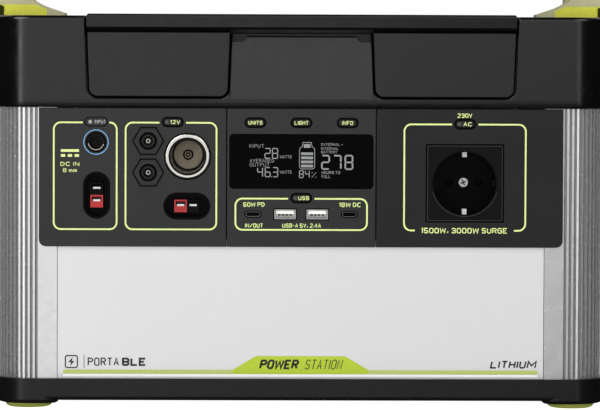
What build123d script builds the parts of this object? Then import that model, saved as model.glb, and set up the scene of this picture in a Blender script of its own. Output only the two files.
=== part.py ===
from build123d import *
import math
import os

# Portable lithium power station: a box of fluted aluminium corner posts and silver
# sheets between a black base tray and a black top housing with a hinged lid, two
# rigid carrying handles, three control panels at the front, and the cells, boards
# and fans that it needs inside.
#
# Frame: millimetres, +Z up, +X to the right seen from the front, the front faces -Y.
# The origin is on the floor, under the middle of the object.

# ---------------------------------------------------------------- driving dimensions
WIDTH = 387.4
DEPTH = 259.8
LID_TOP = 250.4  # floor to the closed lid
HANDLE_TOP = 297.0
HALF_W = WIDTH / 2
HALF_D = DEPTH / 2
CORNER_R = 21.0
FIT = 0.3  # gap between pieces that move past each other

# Levels, upwards from the floor
BOSS_BOTTOM = 3.2
TRAY_BOTTOM = 5.3
TRAY_FLOOR = 9.5
TRAY_TOP = 19.2
PANEL_BOTTOM = 103.0
HOUSING_BOTTOM = 191.2
BAND_TOP = 196.0  # top of the band round the foot of the top housing that curves inwards
HOUSING_TOP = 249.2
PANEL_TOP = HOUSING_BOTTOM - 0.3
BAND_STEPS = ((HOUSING_BOTTOM, 0.6), (192.6, 0.3), (194.2, 0.1), (BAND_TOP, 0.0))

# Body panels, set in from the outline of the tray and the top housing
POST_X = HALF_W - 1.2
POST_Y = HALF_D - 3.0
POST_R = 20.0
POST_WALL = 4.0
POST_EDGE_X = 154.6  # where a post's front arm ends
POST_EDGE_Y = 91.0  # where a post's side arm ends
SHEET = 2.0
SHEET_SET_IN = 0.4
SEAM = 0.3
FLUTE_R = 0.85
FLUTES_ON_CORNER = 10
FLUTES_ON_FLAT = 2

# Lid and its opening
LID_HALF = 136.1
OPENING_HALF = 137.3
WELL_HALF = 133.0
WELL_FRONT = -118.4
LEDGE_Z = 236.0
HINGE_Y = 110.0
HINGE_Z = 243.5
BARREL_R = LID_TOP - HINGE_Z
REAR_DECK_Y = HINGE_Y + BARREL_R + 1.1
PIN_R = 2.0
RIM_BOTTOM = 240.6
FLAP_BOTTOM = 198.0
GROOVE_BOTTOM, GROOVE_TOP = 238.9, 242.2  # between the lid's rim and its flaps
FLAP_INNER, FLAP_OUTER = 45.2, 135.9  # at the lid's rim
POCKET_BOTTOM = 196.9
SCOOP_TOP = 236.6
EDGE_R = 0.7

# Control panels
PANEL_FRONT = -(HALF_D - 1.5)
PANEL_SKIN = 1.5
PANEL_BACK = PANEL_FRONT + 5.0
PANEL_HALF = 166.1
PANEL_SEAM = 47.4
UPPER_ROW = 182.0  # height of the indicator and the 12 V and AC buttons
BUTTON_ROW = 181.8
BUTTON_PITCH = 29.2
BUTTON_CAP = (11.6, 4.3)
BUTTON_TRAVEL = 1.2
AC_X = 103.7
AC_Z = 143.8
JACK_X, JACK_Z = -130.0, 169.2
HEX_X, HEX_Z = -97.0, (170.0, 150.0)
CAR_X, CAR_Z = -72.1, 160.3
CAR_BORE_R = 10.7
CAR_DEPTH = 34.2  # from the panel to the shoulder that the base sits behind
CAR_SEAT_R = 9.9
POWER_IN = (-129.6, 135.6)
POWER_OUT = (-72.5, 128.8)
HOUSING_SIDE = 7.9  # side of one power connector housing
CONTACT_SLOT = 3.2  # height of the mouth over its contact
CONTACT_RISE = 1.5
DC_BUTTON_X = -81.5
AC_BUTTON_Z = UPPER_ROW - 0.7
USB_BUTTON_Z = 134.1
BOARD_FRONT = PANEL_BACK + 4.0  # face of the circuit boards behind the panels
USB_Z = 123.8
USB_BOARD_Z = USB_Z - 3.1
USB_A_X = 10.2
USB_C_X = 30.5

# Handles
HANDLE_HALF = 98.0
LINER = 3.5
SKIN = 1.3  # how thick the shell is over the liner
PLAN_R = 1.2  # of the handle's outer corners seen from above
TOE_END = 162.6
REAR_LEG_X = 184.6  # inner face of the rear leg
ANKLE_TOP = 256.2

# Inside
CELL_R = 9.0
CELL_H = 65.0
CELL_PITCH = 20.4
CELL_COLUMNS, CELL_ROWS = 13, 6
DECK_Z = 96.0
LEAD_X = 2.0
LEAD_Y = (30.0, 46.0)
LEAD_REACH = 24.0
LEAD_TOP = 110.0
FAN_Z = 144.0
FAN_SIDE = 60.0
FAN_X = (172.6, 187.6)
FAN_R = 26.5


# ---------------------------------------------------------------------- small helpers
def block(x0, x1, y0, y1, z0, z1):
    """A box between two corners."""
    return Pos((x0 + x1) / 2, (y0 + y1) / 2, (z0 + z1) / 2) * Box(x1 - x0, y1 - y0, z1 - z0)


def upright(sketch, z0, z1):
    """A plan outline standing from z0 to z1."""
    return Pos(0, 0, z0) * extrude(sketch, z1 - z0)


def from_front(sketch, x, z, y_front, y_back):
    """An outline seen from the front, centred at x, z, running from y_front to y_back."""
    return Plane.XZ.offset(-y_back) * Pos(x, z) * extrude(sketch, y_back - y_front)


def from_side(sketch, y, z, x0, x1):
    """An outline seen from the right, centred at y, z, running from x0 to x1."""
    return Plane.YZ.offset(x0) * Pos(y, z) * extrude(sketch, x1 - x0)


def outline(points):
    """A closed face through the points."""
    return make_face(Polyline(*points, close=True))


def edges_near(shape, axis, position):
    """The edges of a part, or of a list of edges, whose middle is at that place on the axis."""
    edges = shape if isinstance(shape, ShapeList) else shape.edges()
    return edges.filter_by_position(axis, position - 0.01, position + 0.01)


def mirrored(part):
    """The same piece on the other side of the middle plane X = 0."""
    return mirror(part, about=Plane.YZ)


def as_one(parts):
    """Several separate solids as one node."""
    solids = [solid for part in parts for solid in part.solids()]
    return Compound(children=solids)


# ------------------------------------------------------------------------------ base
def corners():
    """Signs of the four corners, with their names."""
    return {
        "front_left": (-1, -1),
        "front_right": (1, -1),
        "rear_left": (-1, 1),
        "rear_right": (1, 1),
    }


FOOT_X = HALF_W - 20.4
FOOT_Y = HALF_D - 20.4
FOOT_R = 15.2
BOSS_SIDE = 40.0


def base_tray():
    pan = upright(RectangleRounded(WIDTH, DEPTH, CORNER_R), TRAY_BOTTOM, TRAY_TOP)
    pan = fillet(edges_near(pan, Axis.Z, TRAY_BOTTOM), 2.5)
    boss_outline = RectangleRounded(WIDTH, DEPTH, CORNER_R)
    for sx, sy in corners().values():
        square = Pos(sx * (HALF_W - BOSS_SIDE / 2), sy * (HALF_D - BOSS_SIDE / 2)) * RectangleRounded(
            BOSS_SIDE, BOSS_SIDE, 9.0
        )
        boss = upright(square & boss_outline, BOSS_BOTTOM, TRAY_FLOOR)
        boss = fillet(edges_near(boss, Axis.Z, BOSS_BOTTOM), 2.5)
        pan += boss
    pan -= upright(RectangleRounded(WIDTH - 18, DEPTH - 18, 12), TRAY_FLOOR, TRAY_TOP)
    for sx, sy in corners().values():
        post = Pos(sx * FOOT_X, sy * FOOT_Y, 0)
        pan += post * upright(Circle(6.5), TRAY_FLOOR, TRAY_TOP - 0.4)
        pan -= post * upright(Circle(FOOT_R + 0.1), BOSS_BOTTOM, BOSS_BOTTOM + 1.2)
        pan -= post * upright(Circle(2.0), BOSS_BOTTOM, 17.0)
    for x in range(-150, 151, 60):  # stiffening ribs on the floor, clear of the battery case
        pan += block(x - 1, x + 1, -HALF_D + 9, -68, TRAY_FLOOR, TRAY_FLOOR + 4)
        pan += block(x - 1, x + 1, 68, HALF_D - 9, TRAY_FLOOR, TRAY_FLOOR + 4)
    return pan


def foot(sx, sy):
    pad = upright(Circle(FOOT_R), 0, BOSS_BOTTOM + 1.2)
    pad = fillet(edges_near(pad, Axis.Z, 0), 3.6)
    pad -= upright(Circle(4.4), 0, 3.0)
    pad -= upright(Circle(2.2), 0, 9.0)
    return Pos(sx * FOOT_X, sy * FOOT_Y, 0) * pad


def base_screws():
    screws = []
    for sx, sy in corners().values():
        screw = upright(Circle(3.8), 0.9, 3.0) + upright(Circle(2.0), 3.0, 15.0)
        screw -= upright(RegularPolygon(1.5, 6), 0.9, 2.2)
        screws.append(Pos(sx * FOOT_X, sy * FOOT_Y, 0) * screw)
    return as_one(screws)


# ------------------------------------------------------------------------ body panels
def corner_post(sx, sy):
    """An L-shaped extrusion with round flutes about its corner."""
    ring = RectangleRounded(2 * POST_X, 2 * POST_Y, POST_R) - RectangleRounded(
        2 * (POST_X - POST_WALL), 2 * (POST_Y - POST_WALL), POST_R - POST_WALL
    )
    window = Pos((POST_EDGE_X + HALF_W) / 2, (POST_EDGE_Y + HALF_D) / 2) * Rectangle(
        HALF_W - POST_EDGE_X, HALF_D - POST_EDGE_Y
    )
    profile = ring & window
    centre_x, centre_y = POST_X - POST_R, POST_Y - POST_R
    pitch = POST_R * math.pi / 2 / FLUTES_ON_CORNER
    for i in range(FLUTES_ON_CORNER):
        angle = (i + 0.5) * math.pi / 2 / FLUTES_ON_CORNER
        profile -= Pos(
            centre_x + POST_R * math.cos(angle), centre_y + POST_R * math.sin(angle)
        ) * Circle(FLUTE_R)
    for i in range(FLUTES_ON_FLAT):
        step = (i + 0.5) * pitch
        profile -= Pos(centre_x - step, POST_Y) * Circle(FLUTE_R)
        profile -= Pos(POST_X, centre_y - step) * Circle(FLUTE_R)
    post = upright(profile, TRAY_TOP, HOUSING_BOTTOM)
    if sx < 0:
        post = mirror(post, about=Plane.YZ)
    if sy < 0:
        post = mirror(post, about=Plane.XZ)
    return post


def fascia(sy, top):
    face = POST_Y - SHEET_SET_IN
    y0, y1 = sorted((sy * face, sy * (face - SHEET)))
    edge = POST_EDGE_X - SEAM
    return block(-edge, edge, y0, y1, TRAY_TOP, top)


VENT_HALF = 72.0
VENT_Z = (110.0, 178.0)


def side_panel(sx):
    face = POST_X - SHEET_SET_IN
    edge = POST_EDGE_Y - SEAM
    x0, x1 = sorted((sx * face, sx * (face - SHEET)))
    panel = block(x0, x1, -edge, edge, TRAY_TOP, HOUSING_BOTTOM)
    middle = sum(VENT_Z) / 2
    hole = RectangleRounded(2 * VENT_HALF - 4, VENT_Z[1] - VENT_Z[0] - 4, 4)
    return panel - from_side(hole, 0, middle, min(x0, x1) - 1, max(x0, x1) + 1)


def vent_grille(sx):
    """A louvred plate that sits in the side panel's window, with a flange outside it."""
    face = POST_X - SHEET_SET_IN
    middle = sum(VENT_Z) / 2
    height = VENT_Z[1] - VENT_Z[0]
    flange = from_side(RectangleRounded(2 * VENT_HALF, height, 6), 0, middle, face, HALF_W - 0.2)
    plug = from_side(
        RectangleRounded(2 * VENT_HALF - 4.6, height - 4.6, 3.7), 0, middle, face - 4.5, face
    )
    grille = flange + plug
    slot_count = 9
    pitch = (height - 12) / slot_count
    for i in range(slot_count):
        z = VENT_Z[0] + 6 + (i + 0.5) * pitch
        for half in (-1, 1):
            slot = SlotOverall(VENT_HALF - 12, 3.4)
            grille -= from_side(slot, half * (VENT_HALF - 6) / 2, z, face - 6, HALF_W + 1)
    return grille if sx > 0 else mirrored(grille)


# ------------------------------------------------------------------------ top housing
def flap_outline(grow_in, grow_out, bottom, top):
    """The right-hand front flap of the lid seen from the front, a little narrower below."""
    draft = 0.036 * (top - bottom)
    inner, outer = FLAP_INNER - grow_in, FLAP_OUTER + grow_out
    shape = outline(
        [(inner, top), (inner + draft, bottom), (outer - draft, bottom), (outer, top)]
    )
    low = shape.vertices().group_by(Axis.Y)[0]
    return fillet(low, 5.4 + grow_out)


def top_housing():
    body = upright(RectangleRounded(WIDTH, DEPTH, CORNER_R), BAND_TOP, HOUSING_TOP)
    body = fillet(edges_near(body, Axis.Z, HOUSING_TOP), 2.8)
    for (low, set_in), (high, next_set_in) in zip(BAND_STEPS, BAND_STEPS[1:]):
        lean = math.degrees(math.atan((set_in - next_set_in) / (high - low)))
        foot = RectangleRounded(WIDTH - 2 * set_in, DEPTH - 2 * set_in, CORNER_R - set_in)
        body += Pos(0, 0, low) * extrude(foot, high - low, taper=-lean)
    # Hollow from below: a 9 mm wide foot that stands on the posts, thinner walls above it.
    body -= upright(RectangleRounded(WIDTH - 21, DEPTH - 21, 11), HOUSING_BOTTOM, BAND_TOP)
    wall = 3.0
    for side in (-1, 1):
        x0, x1 = sorted((side * (OPENING_HALF + wall), side * (HALF_W - 10.5)))
        body -= block(x0, x1, -HALF_D + 14, HALF_D - 14, BAND_TOP, HOUSING_TOP - wall)
    # The well that holds the storage tray, and the wider seat of the lid above it.
    body -= block(-WELL_HALF, WELL_HALF, WELL_FRONT, 98.0, BAND_TOP, LEDGE_Z)
    body -= block(-OPENING_HALF, OPENING_HALF, WELL_FRONT, REAR_DECK_Y, LEDGE_Z, LID_TOP)
    body -= block(-OPENING_HALF, OPENING_HALF, 101.8, REAR_DECK_Y, 233.0, LEDGE_Z)
    # Pockets for the two flaps of the lid, and the sloping finger scoop between them.
    for side in (1, -1):
        pocket = from_front(
            flap_outline(2.0, 1.6, POCKET_BOTTOM, LID_TOP), 0, 0, -HALF_D - 1, -HALF_D + 5.5
        )
        body -= pocket if side > 0 else mirrored(pocket)
    slope = outline(
        [
            (-HALF_D - 1, POCKET_BOTTOM),
            (-HALF_D, POCKET_BOTTOM),
            (-HALF_D + 8.5, SCOOP_TOP),
            (-HALF_D + 8.5, LID_TOP),
            (-HALF_D - 1, LID_TOP),
        ]
    )
    sides = outline([(-43.9, LID_TOP), (-45.1, POCKET_BOTTOM), (45.1, POCKET_BOTTOM), (43.9, LID_TOP)])
    body -= from_side(slope, 0, 0, -50, 50) & from_front(sides, 0, 0, -HALF_D - 1, -HALF_D + 9)
    body -= block(-44, 44, -HALF_D - 1, WELL_FRONT + 1, SCOOP_TOP, LID_TOP)
    body -= block(-OPENING_HALF, OPENING_HALF, -HALF_D + 5, WELL_FRONT + 1, SCOOP_TOP, LID_TOP)
    for side in (1, -1):
        notch = outline([(34.6, 240), (34.6, 232.8), (44.0, 232.8), (44.0, 240)])
        notch = fillet(notch.vertices().sort_by(SortBy.DISTANCE)[0], 4.0)
        cut = from_front(notch, 0, 0, -HALF_D - 1, WELL_FRONT + 1)
        body -= cut if side > 0 else mirrored(cut)
    rims = edges_near(body, Axis.Y, -HALF_D).filter_by_position(Axis.Z, POCKET_BOTTOM - 0.1, LID_TOP)
    body = fillet(rims.filter_by(lambda edge: 43 < abs(edge.center().X) < 138), EDGE_R)
    crest = edges_near(body, Axis.Y, -HALF_D + 8.5)
    body = fillet(edges_near(crest, Axis.Z, SCOOP_TOP), 1.2)
    # Bosses that hold the hinge pins, and blocks under the feet of the handles.
    for side in (1, -1):
        x0, x1 = sorted((side * OPENING_HALF, side * (OPENING_HALF + 13)))
        body += from_side(Circle(5.0), HINGE_Y, HINGE_Z, x0, x1)
        x0, x1 = sorted((side * (OPENING_HALF - 1), side * (OPENING_HALF + 10)))
        body -= from_side(Circle(PIN_R), HINGE_Y, HINGE_Z, x0, x1)
        for end in (-1, 1):
            x0, x1 = sorted((side * 152.0, side * 183.0))
            y0, y1 = sorted((end * 72.0, end * 96.0))
            body += block(x0, x1, y0, y1, 238.0, HOUSING_TOP - wall)
    return body


def storage_tray():
    tray = block(-131.5, 131.5, -117.0, 96.5, 202.0, 238.0)
    tray = fillet(tray.edges().filter_by(Axis.Z), 6.0)
    tray += block(-136.6, 136.6, -117.8, 101.2, LEDGE_Z, 238.0)
    inside = block(-129.0, 129.0, -114.5, 94.0, 204.5, 239.0)
    inside = fillet(inside.edges().filter_by(Axis.Z), 4.0)
    inside = fillet(edges_near(inside, Axis.Z, 204.5), 3.0)
    tray -= inside
    tray += block(38.0, 40.0, -114.6, 94.1, 204.4, 228.0)
    return tray


def lid():
    slab = block(-LID_HALF, LID_HALF, -HALF_D, HINGE_Y, RIM_BOTTOM, LID_TOP)
    rim = edges_near(slab, Axis.Z, LID_TOP).sort_by(Axis.Y)[:-1]
    slab = fillet(rim, 1.6)
    # The rim's front face leans forwards, so that it overhangs the groove under it.
    lean = outline(
        [(-HALF_D - 1, 238), (-HALF_D + 0.7, 240), (-HALF_D, LID_TOP - 1.7), (-HALF_D - 1, LID_TOP - 1.7)]
    )
    slab -= from_side(lean, 0, 0, -LID_HALF - 1, LID_HALF + 1)
    slab += from_side(Circle(BARREL_R), HINGE_Y, HINGE_Z, -LID_HALF, LID_HALF)
    # Shallow panel pressed into the top, and the hollow underside with its ribs.
    slab -= upright(Pos(0, -10) * RectangleRounded(228, 190, 14), LID_TOP - 0.9, LID_TOP)
    slab -= upright(Pos(0, -12) * RectangleRounded(248, 196, 8), RIM_BOTTOM, LID_TOP - 3.9)
    for x in (-82, -27.5, 27.5, 82):
        slab += block(x - 1.0, x + 1.0, -110.0, 86.0, RIM_BOTTOM + 0.8, LID_TOP - 3.0)
    for y in (-60, 10):
        slab += block(-124.0, 124.0, y - 1.0, y + 1.0, RIM_BOTTOM + 0.8, LID_TOP - 3.0)
    for side in (1, -1):
        flap = from_front(
            flap_outline(0, 0, FLAP_BOTTOM, RIM_BOTTOM), 0, 0, -HALF_D + 0.5, -HALF_D + 4.9
        )
        slab += flap if side > 0 else mirrored(flap)
        x0, x1 = sorted((side * (LID_HALF - 11), side * (LID_HALF + 1)))
        slab -= from_side(Circle(PIN_R + 0.06), HINGE_Y, HINGE_Z, x0, x1)
    # The groove between rim and flaps, deepest at its bottom.
    groove = outline(
        [
            (-HALF_D - 1, GROOVE_BOTTOM),
            (-HALF_D + 3.4, GROOVE_BOTTOM),
            (-HALF_D + 0.8, GROOVE_TOP),
            (-HALF_D - 1, GROOVE_TOP),
        ]
    )
    slab -= from_side(groove, 0, 0, -OPENING_HALF, OPENING_HALF)
    flap_edges = edges_near(slab, Axis.Y, -HALF_D + 0.5)
    return fillet(flap_edges.filter_by_position(Axis.Z, FLAP_BOTTOM - 1, GROOVE_BOTTOM + 0.1), EDGE_R)


def lid_seal():
    outer = Pos(0, -9) * RectangleRounded(264, 212, 9)
    inner = Pos(0, -9) * RectangleRounded(258, 206, 6)
    return upright(outer - inner, 238.4, RIM_BOTTOM)


def lid_hinge_pins():
    pins = []
    for side in (1, -1):
        x0, x1 = sorted((side * (LID_HALF - 10), side * (OPENING_HALF + 10)))
        pins.append(from_side(Circle(PIN_R), HINGE_Y, HINGE_Z, x0, x1))
    return as_one(pins)


# ---------------------------------------------------------------------------- handles
def handle_fin():
    """The handle's outline seen from the front, upright outside and flared to a toe inside."""
    inner = Spline((151.0, 250.8), (161.5, 254.2), (171.6, 259.4), (177.5, 267.0), (179.5, 277.0))
    fin_edge = inner + Polyline(
        (179.5, 277.0),
        (179.5, HANDLE_TOP),
        (HALF_W, HANDLE_TOP),
        (HALF_W, 258.0),
        (191.0, HOUSING_TOP),
        (151.0, HOUSING_TOP),
        (151.0, 250.8),
    )
    profile = make_face(fin_edge)
    profile = fillet(profile.vertices().group_by(Axis.Y)[-1], 4.5)
    fin = Plane.XZ.offset(-HANDLE_HALF) * extrude(profile, 2 * HANDLE_HALF)
    # The rear leg has no toe: it stands beside the lid's hinge.
    return fin - block(140.0, REAR_LEG_X, 0.0, HANDLE_HALF + 1, HOUSING_TOP - 1, 279.0)


def handle():
    """The right-hand handle: the fin cut to the arch that it makes seen from the side."""
    fin = handle_fin()
    arch = outline([(-98, HOUSING_TOP), (-90, HANDLE_TOP), (90, HANDLE_TOP), (98, HOUSING_TOP)])
    arch = fillet(arch.vertices().group_by(Axis.Y)[-1], 15.0)
    solid = fin & from_side(arch, 0, 0, 140, 200)
    solid &= upright(RectangleRounded(WIDTH, 2 * HANDLE_HALF, PLAN_R), HOUSING_TOP - 1, HANDLE_TOP + 1)
    return solid - from_side(handle_opening(0), 0, 0, 140, 200)


def handle_opening(grow):
    """The finger gap seen from the side, widened by grow."""
    low = 240.0
    half_low, half_top, top = 74.0 + grow, 69.0 + grow, 281.0 + grow
    gap = outline([(-half_low, low), (-half_top, top), (half_top, top), (half_low, low)])
    return fillet(gap.vertices().group_by(Axis.Y)[-1], 12.0 + grow)


def handle_liner_zone():
    """Where the handle is of the second, softer material: round the finger gap, and its ankles."""
    band = from_side(handle_opening(LINER), 0, 0, TOE_END, 200)
    core = Pos(SKIN, 0, -0.7 * SKIN) * handle_fin()
    ankle = core & block(TOE_END, 200, -120, 120, 240, ANKLE_TOP)
    return band + ankle + block(180, 200, -120, 120, 240, ANKLE_TOP)


def handle_shell():
    return handle() - handle_liner_zone()


def handle_liner():
    return handle() & handle_liner_zone()


# --------------------------------------------------------------------- control panels
def panel_blank(x0, x1, left_end, right_end):
    """A panel with a thin skin over the posts and a thicker body between them."""
    width = x1 - x0
    skin = Pos((x0 + x1) / 2, (PANEL_BOTTOM + PANEL_TOP) / 2) * Rectangle(
        width, PANEL_TOP - PANEL_BOTTOM
    )
    low = skin.vertices().group_by(Axis.Y)[0].sort_by(Axis.X)
    if left_end:
        skin = fillet(low[0], 4.5)
    if right_end:
        skin = fillet(low[-1], 4.5)
    plate = from_front(skin, 0, 0, PANEL_FRONT, PANEL_FRONT + PANEL_SKIN)
    front_edges = edges_near(plate, Axis.Y, PANEL_FRONT)
    plate = chamfer(front_edges, 0.3)
    body0 = -POST_EDGE_X + SEAM if left_end else x0
    body1 = POST_EDGE_X - SEAM if right_end else x1
    return plate + block(
        body0, body1, PANEL_FRONT + PANEL_SKIN, PANEL_BACK, PANEL_BOTTOM + 4.3, PANEL_TOP
    )


def button_cut(x, z):
    """The recess round a button, and the hole that it slides in."""
    width, height = BUTTON_CAP
    recess = from_front(SlotOverall(14.1, 6.9), x, z, PANEL_FRONT - 1, PANEL_FRONT + 1.3)
    hole = SlotOverall(width + 2 * FIT, height + 2 * FIT)
    return recess + from_front(hole, x, z, PANEL_FRONT - 1, PANEL_BACK + 1)


def button(x, z):
    """A cap with a wider skirt behind the panel, which keeps it in."""
    width, height = BUTTON_CAP
    cap = from_front(SlotOverall(width, height), x, z, PANEL_FRONT - 0.3, PANEL_BACK + FIT)
    cap = chamfer(edges_near(cap, Axis.Y, PANEL_FRONT - 0.3), 0.35)
    skirt = from_front(
        SlotOverall(width + 2.4, height + 2.4), x, z, PANEL_BACK + FIT, PANEL_BACK + FIT + 1.0
    )
    return cap + skirt


def power_ports():
    """Each power connector: its centre, and the way from the red to the black housing."""
    return ((POWER_IN, (0, 1)), (POWER_OUT, (1, 0)))


def oval(along, length, width):
    return SlotOverall(length, width, rotation=90 if along[1] else 0)


def dc_panel():
    panel = panel_blank(-PANEL_HALF, -PANEL_SEAM - 0.2, True, False)
    back = PANEL_BACK + 1
    front = PANEL_FRONT - 1
    panel -= button_cut(DC_BUTTON_X, UPPER_ROW)
    panel -= from_front(Circle(6.6), JACK_X, JACK_Z, front, back)
    for z in HEX_Z:
        panel -= from_front(Circle(7.0), HEX_X, z, front, back)
    panel -= from_front(Circle(12.2), CAR_X, CAR_Z, front, back)
    for (x, z), along in power_ports():
        panel -= from_front(oval(along, 29.9, 17.3), x, z, front, back)
    # The indicator beside the input is a shallow pill with a light pipe in it.
    panel -= from_front(SlotOverall(14.9, 6.5), -130.0, UPPER_ROW, front, PANEL_FRONT + 0.35)
    return panel


def display_panel():
    panel = panel_blank(-PANEL_SEAM + 0.2, PANEL_SEAM - 0.2, False, False)
    back = PANEL_BACK + 1
    front = PANEL_FRONT - 1
    for i in (-1, 0, 1):
        panel -= button_cut(i * BUTTON_PITCH, BUTTON_ROW)
    panel -= button_cut(0, USB_BUTTON_Z)
    panel -= from_front(RectangleRounded(91.6, 35.0, 3.0), 0, 157.3, front, PANEL_FRONT + 2.2)
    panel -= from_front(Rectangle(84.0, 29.0), 0, 157.3, front, back)
    for side in (-1, 1):
        panel -= from_front(RectangleRounded(14.6, 7.0, 0.6), side * USB_A_X, USB_Z, front, back)
        panel -= from_front(SlotOverall(9.8, 4.0), side * USB_C_X, USB_Z, front, back)
    return panel


def ac_panel():
    panel = panel_blank(PANEL_SEAM + 0.2, PANEL_HALF, False, True)
    panel -= button_cut(AC_X, AC_BUTTON_Z)
    panel -= from_front(
        RectangleRounded(49.6, 49.6, 1.0), AC_X, AC_Z, PANEL_FRONT - 1, PANEL_BACK + 1
    )
    return panel


# -------------------------------------------------------- ports, display and sockets
def display_window():
    return from_front(RectangleRounded(91.2, 34.6, 2.8), 0, 157.3, PANEL_FRONT + 0.2, PANEL_FRONT + 2.2)


def switch(x, z):
    """The small switch behind a button, on the face of its board."""
    return from_front(Rectangle(6, 4), x, z, BOARD_FRONT - 1.2, BOARD_FRONT)


def spacer(x, z):
    """The spacer between a panel's back and the face of its board."""
    return from_front(Circle(2.0), x, z, PANEL_BACK, BOARD_FRONT)


def display_board():
    """The board behind the display panel, and a small switch board behind each other panel."""
    screen = from_front(Rectangle(82.0, 27.0), 0, 157.3, PANEL_FRONT + 2.4, BOARD_FRONT)
    main = screen + block(-44.0, 44.0, BOARD_FRONT, BOARD_FRONT + 1.6, 130.5, 189.0)
    for i in (-1, 0, 1):
        main += switch(i * BUTTON_PITCH, BUTTON_ROW)
    main += switch(0, USB_BUTTON_Z)
    for side in (-1, 1):
        x0, x1 = sorted((side * 37.0, side * 44.0))
        main += block(x0, x1, BOARD_FRONT, BOARD_FRONT + 1.6, USB_BOARD_Z - 1.6, 130.5)
        x0, x1 = sorted((side * (USB_C_X - 4.7), side * (USB_C_X + 4.7)))
        main += block(x0, x1, BOARD_FRONT, PANEL_FRONT + 14, USB_BOARD_Z, USB_Z - 1.8)
        for z in (133.5, 187.0):
            main += spacer(side * 41.5, z)
    main += block(-44.0, 44.0, BOARD_FRONT, PANEL_FRONT + 20, USB_BOARD_Z - 1.6, USB_BOARD_Z)
    boards = [main]
    for x, z in ((DC_BUTTON_X, UPPER_ROW), (AC_X, AC_BUTTON_Z)):
        small = block(x - 14, x + 14, BOARD_FRONT, BOARD_FRONT + 1.6, z - 4.5, z + 6)
        small += switch(x, z)
        for side in (-1, 1):
            small += spacer(x + side * 11.5, z)
        boards.append(small)
    return as_one(boards)


def usb_a_ports():
    """Pressed steel shells, closed at the back, each with its contact tongue."""
    ports = []
    for side in (-1, 1):
        x = side * USB_A_X
        front, back = PANEL_FRONT + 0.3, PANEL_FRONT + 14.5
        shell = from_front(Rectangle(13.6, 6.2), x, USB_Z, front, back)
        shell -= from_front(Rectangle(12.6, 5.2), x, USB_Z, front - 1, back - 1.0)
        shell += from_front(Rectangle(11.2, 1.9), x, USB_Z + 1.1, front + 1.0, back - 0.9)
        ports.append(shell)
    return as_one(ports)


def usb_c_ports():
    ports = []
    for side in (-1, 1):
        x = side * USB_C_X
        front, back = PANEL_FRONT + 0.3, PANEL_FRONT + 11.0
        shell = from_front(SlotOverall(9.4, 3.6), x, USB_Z, front, back)
        shell -= from_front(SlotOverall(8.7, 2.9), x, USB_Z, front - 1, back - 1.0)
        shell += from_front(Rectangle(6.7, 0.8), x, USB_Z, front + 0.9, back - 0.9)
        ports.append(shell)
    return as_one(ports)


def input_jack():
    """A bush for an 8 mm barrel plug."""
    front, back = PANEL_FRONT - 0.2, PANEL_FRONT + 22
    bush = from_front(Circle(6.5), JACK_X, JACK_Z, front, back)
    bush += from_front(Circle(8.4), JACK_X, JACK_Z, PANEL_BACK, PANEL_BACK + 3)
    return bush - from_front(Circle(5.2), JACK_X, JACK_Z, front - 1, back - 3)


def dc_ports():
    """Two hexagonal bushes for 6 mm barrel plugs."""
    ports = []
    for z in HEX_Z:
        front = PANEL_FRONT - 1.2
        hexagon = from_front(RegularPolygon(10.2, 6), HEX_X, z, front, PANEL_FRONT)
        hexagon = chamfer(edges_near(hexagon, Axis.Y, front), 0.5)
        barrel = from_front(Circle(6.9), HEX_X, z, PANEL_FRONT, PANEL_FRONT + 18)
        nut = from_front(RegularPolygon(9.4, 6), HEX_X, z, PANEL_BACK, PANEL_BACK + 3)
        port = hexagon + barrel + nut
        port -= from_front(Circle(4.9), HEX_X, z, front - 1, PANEL_FRONT + 0.4)
        port -= from_front(Circle(3.2), HEX_X, z, front - 1, PANEL_FRONT + 15)
        ports.append(port)
    return as_one(ports)


def jack_contacts():
    """The barrel sleeve of the input jack, and the centre pins of all three jacks."""
    front, back = PANEL_FRONT + 0.8, PANEL_FRONT + 19
    sleeve = from_front(Circle(5.2), JACK_X, JACK_Z, front, back)
    sleeve -= from_front(Circle(4.2), JACK_X, JACK_Z, front - 1, back - 1.5)
    sleeve += from_front(Circle(0.6), JACK_X, JACK_Z, PANEL_FRONT + 4, back - 1)
    pieces = [sleeve]
    for z in HEX_Z:
        pieces.append(from_front(Circle(1.1), HEX_X, z, PANEL_FRONT + 1.5, PANEL_FRONT + 15))
    return as_one(pieces)


def car_socket_shell():
    """A drawn steel cup with a rolled flange, for a vehicle accessory plug."""
    front, back = PANEL_FRONT - 1.3, PANEL_FRONT + 44
    flange = from_front(Circle(14.3), CAR_X, CAR_Z, front, PANEL_FRONT)
    flange = fillet(edges_near(flange, Axis.Y, front), 1.0)
    cup = flange + from_front(Circle(11.8), CAR_X, CAR_Z, PANEL_FRONT, back)
    shoulder = PANEL_FRONT + CAR_DEPTH
    cup -= from_front(Circle(CAR_BORE_R), CAR_X, CAR_Z, front - 1, shoulder)
    cup -= from_front(Circle(CAR_SEAT_R), CAR_X, CAR_Z, shoulder - 1, back - 2)
    mouth = edges_near(cup, Axis.Y, front).sort_by(SortBy.RADIUS)[0]
    return chamfer(mouth, 0.9)


def car_socket_contact():
    """The insulating base of the socket and the sprung centre contact on it."""
    back = PANEL_FRONT + 42
    base = from_front(Circle(CAR_SEAT_R), CAR_X, CAR_Z, back - 4, back)
    base += from_front(Circle(9.2), CAR_X, CAR_Z, back - 5.2, back - 4)
    base += from_front(Circle(4.2), CAR_X, CAR_Z, back - 6.2, back - 5.2)
    return base + from_front(Circle(2.0), CAR_X, CAR_Z, back - 7.4, back - 6.2)


def power_housing_centres(centre, along):
    x, z = centre
    half = HOUSING_SIDE / 2
    red = (x - along[0] * half, z - along[1] * half)
    black = (x + along[0] * half, z + along[1] * half)
    return red, black


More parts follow.
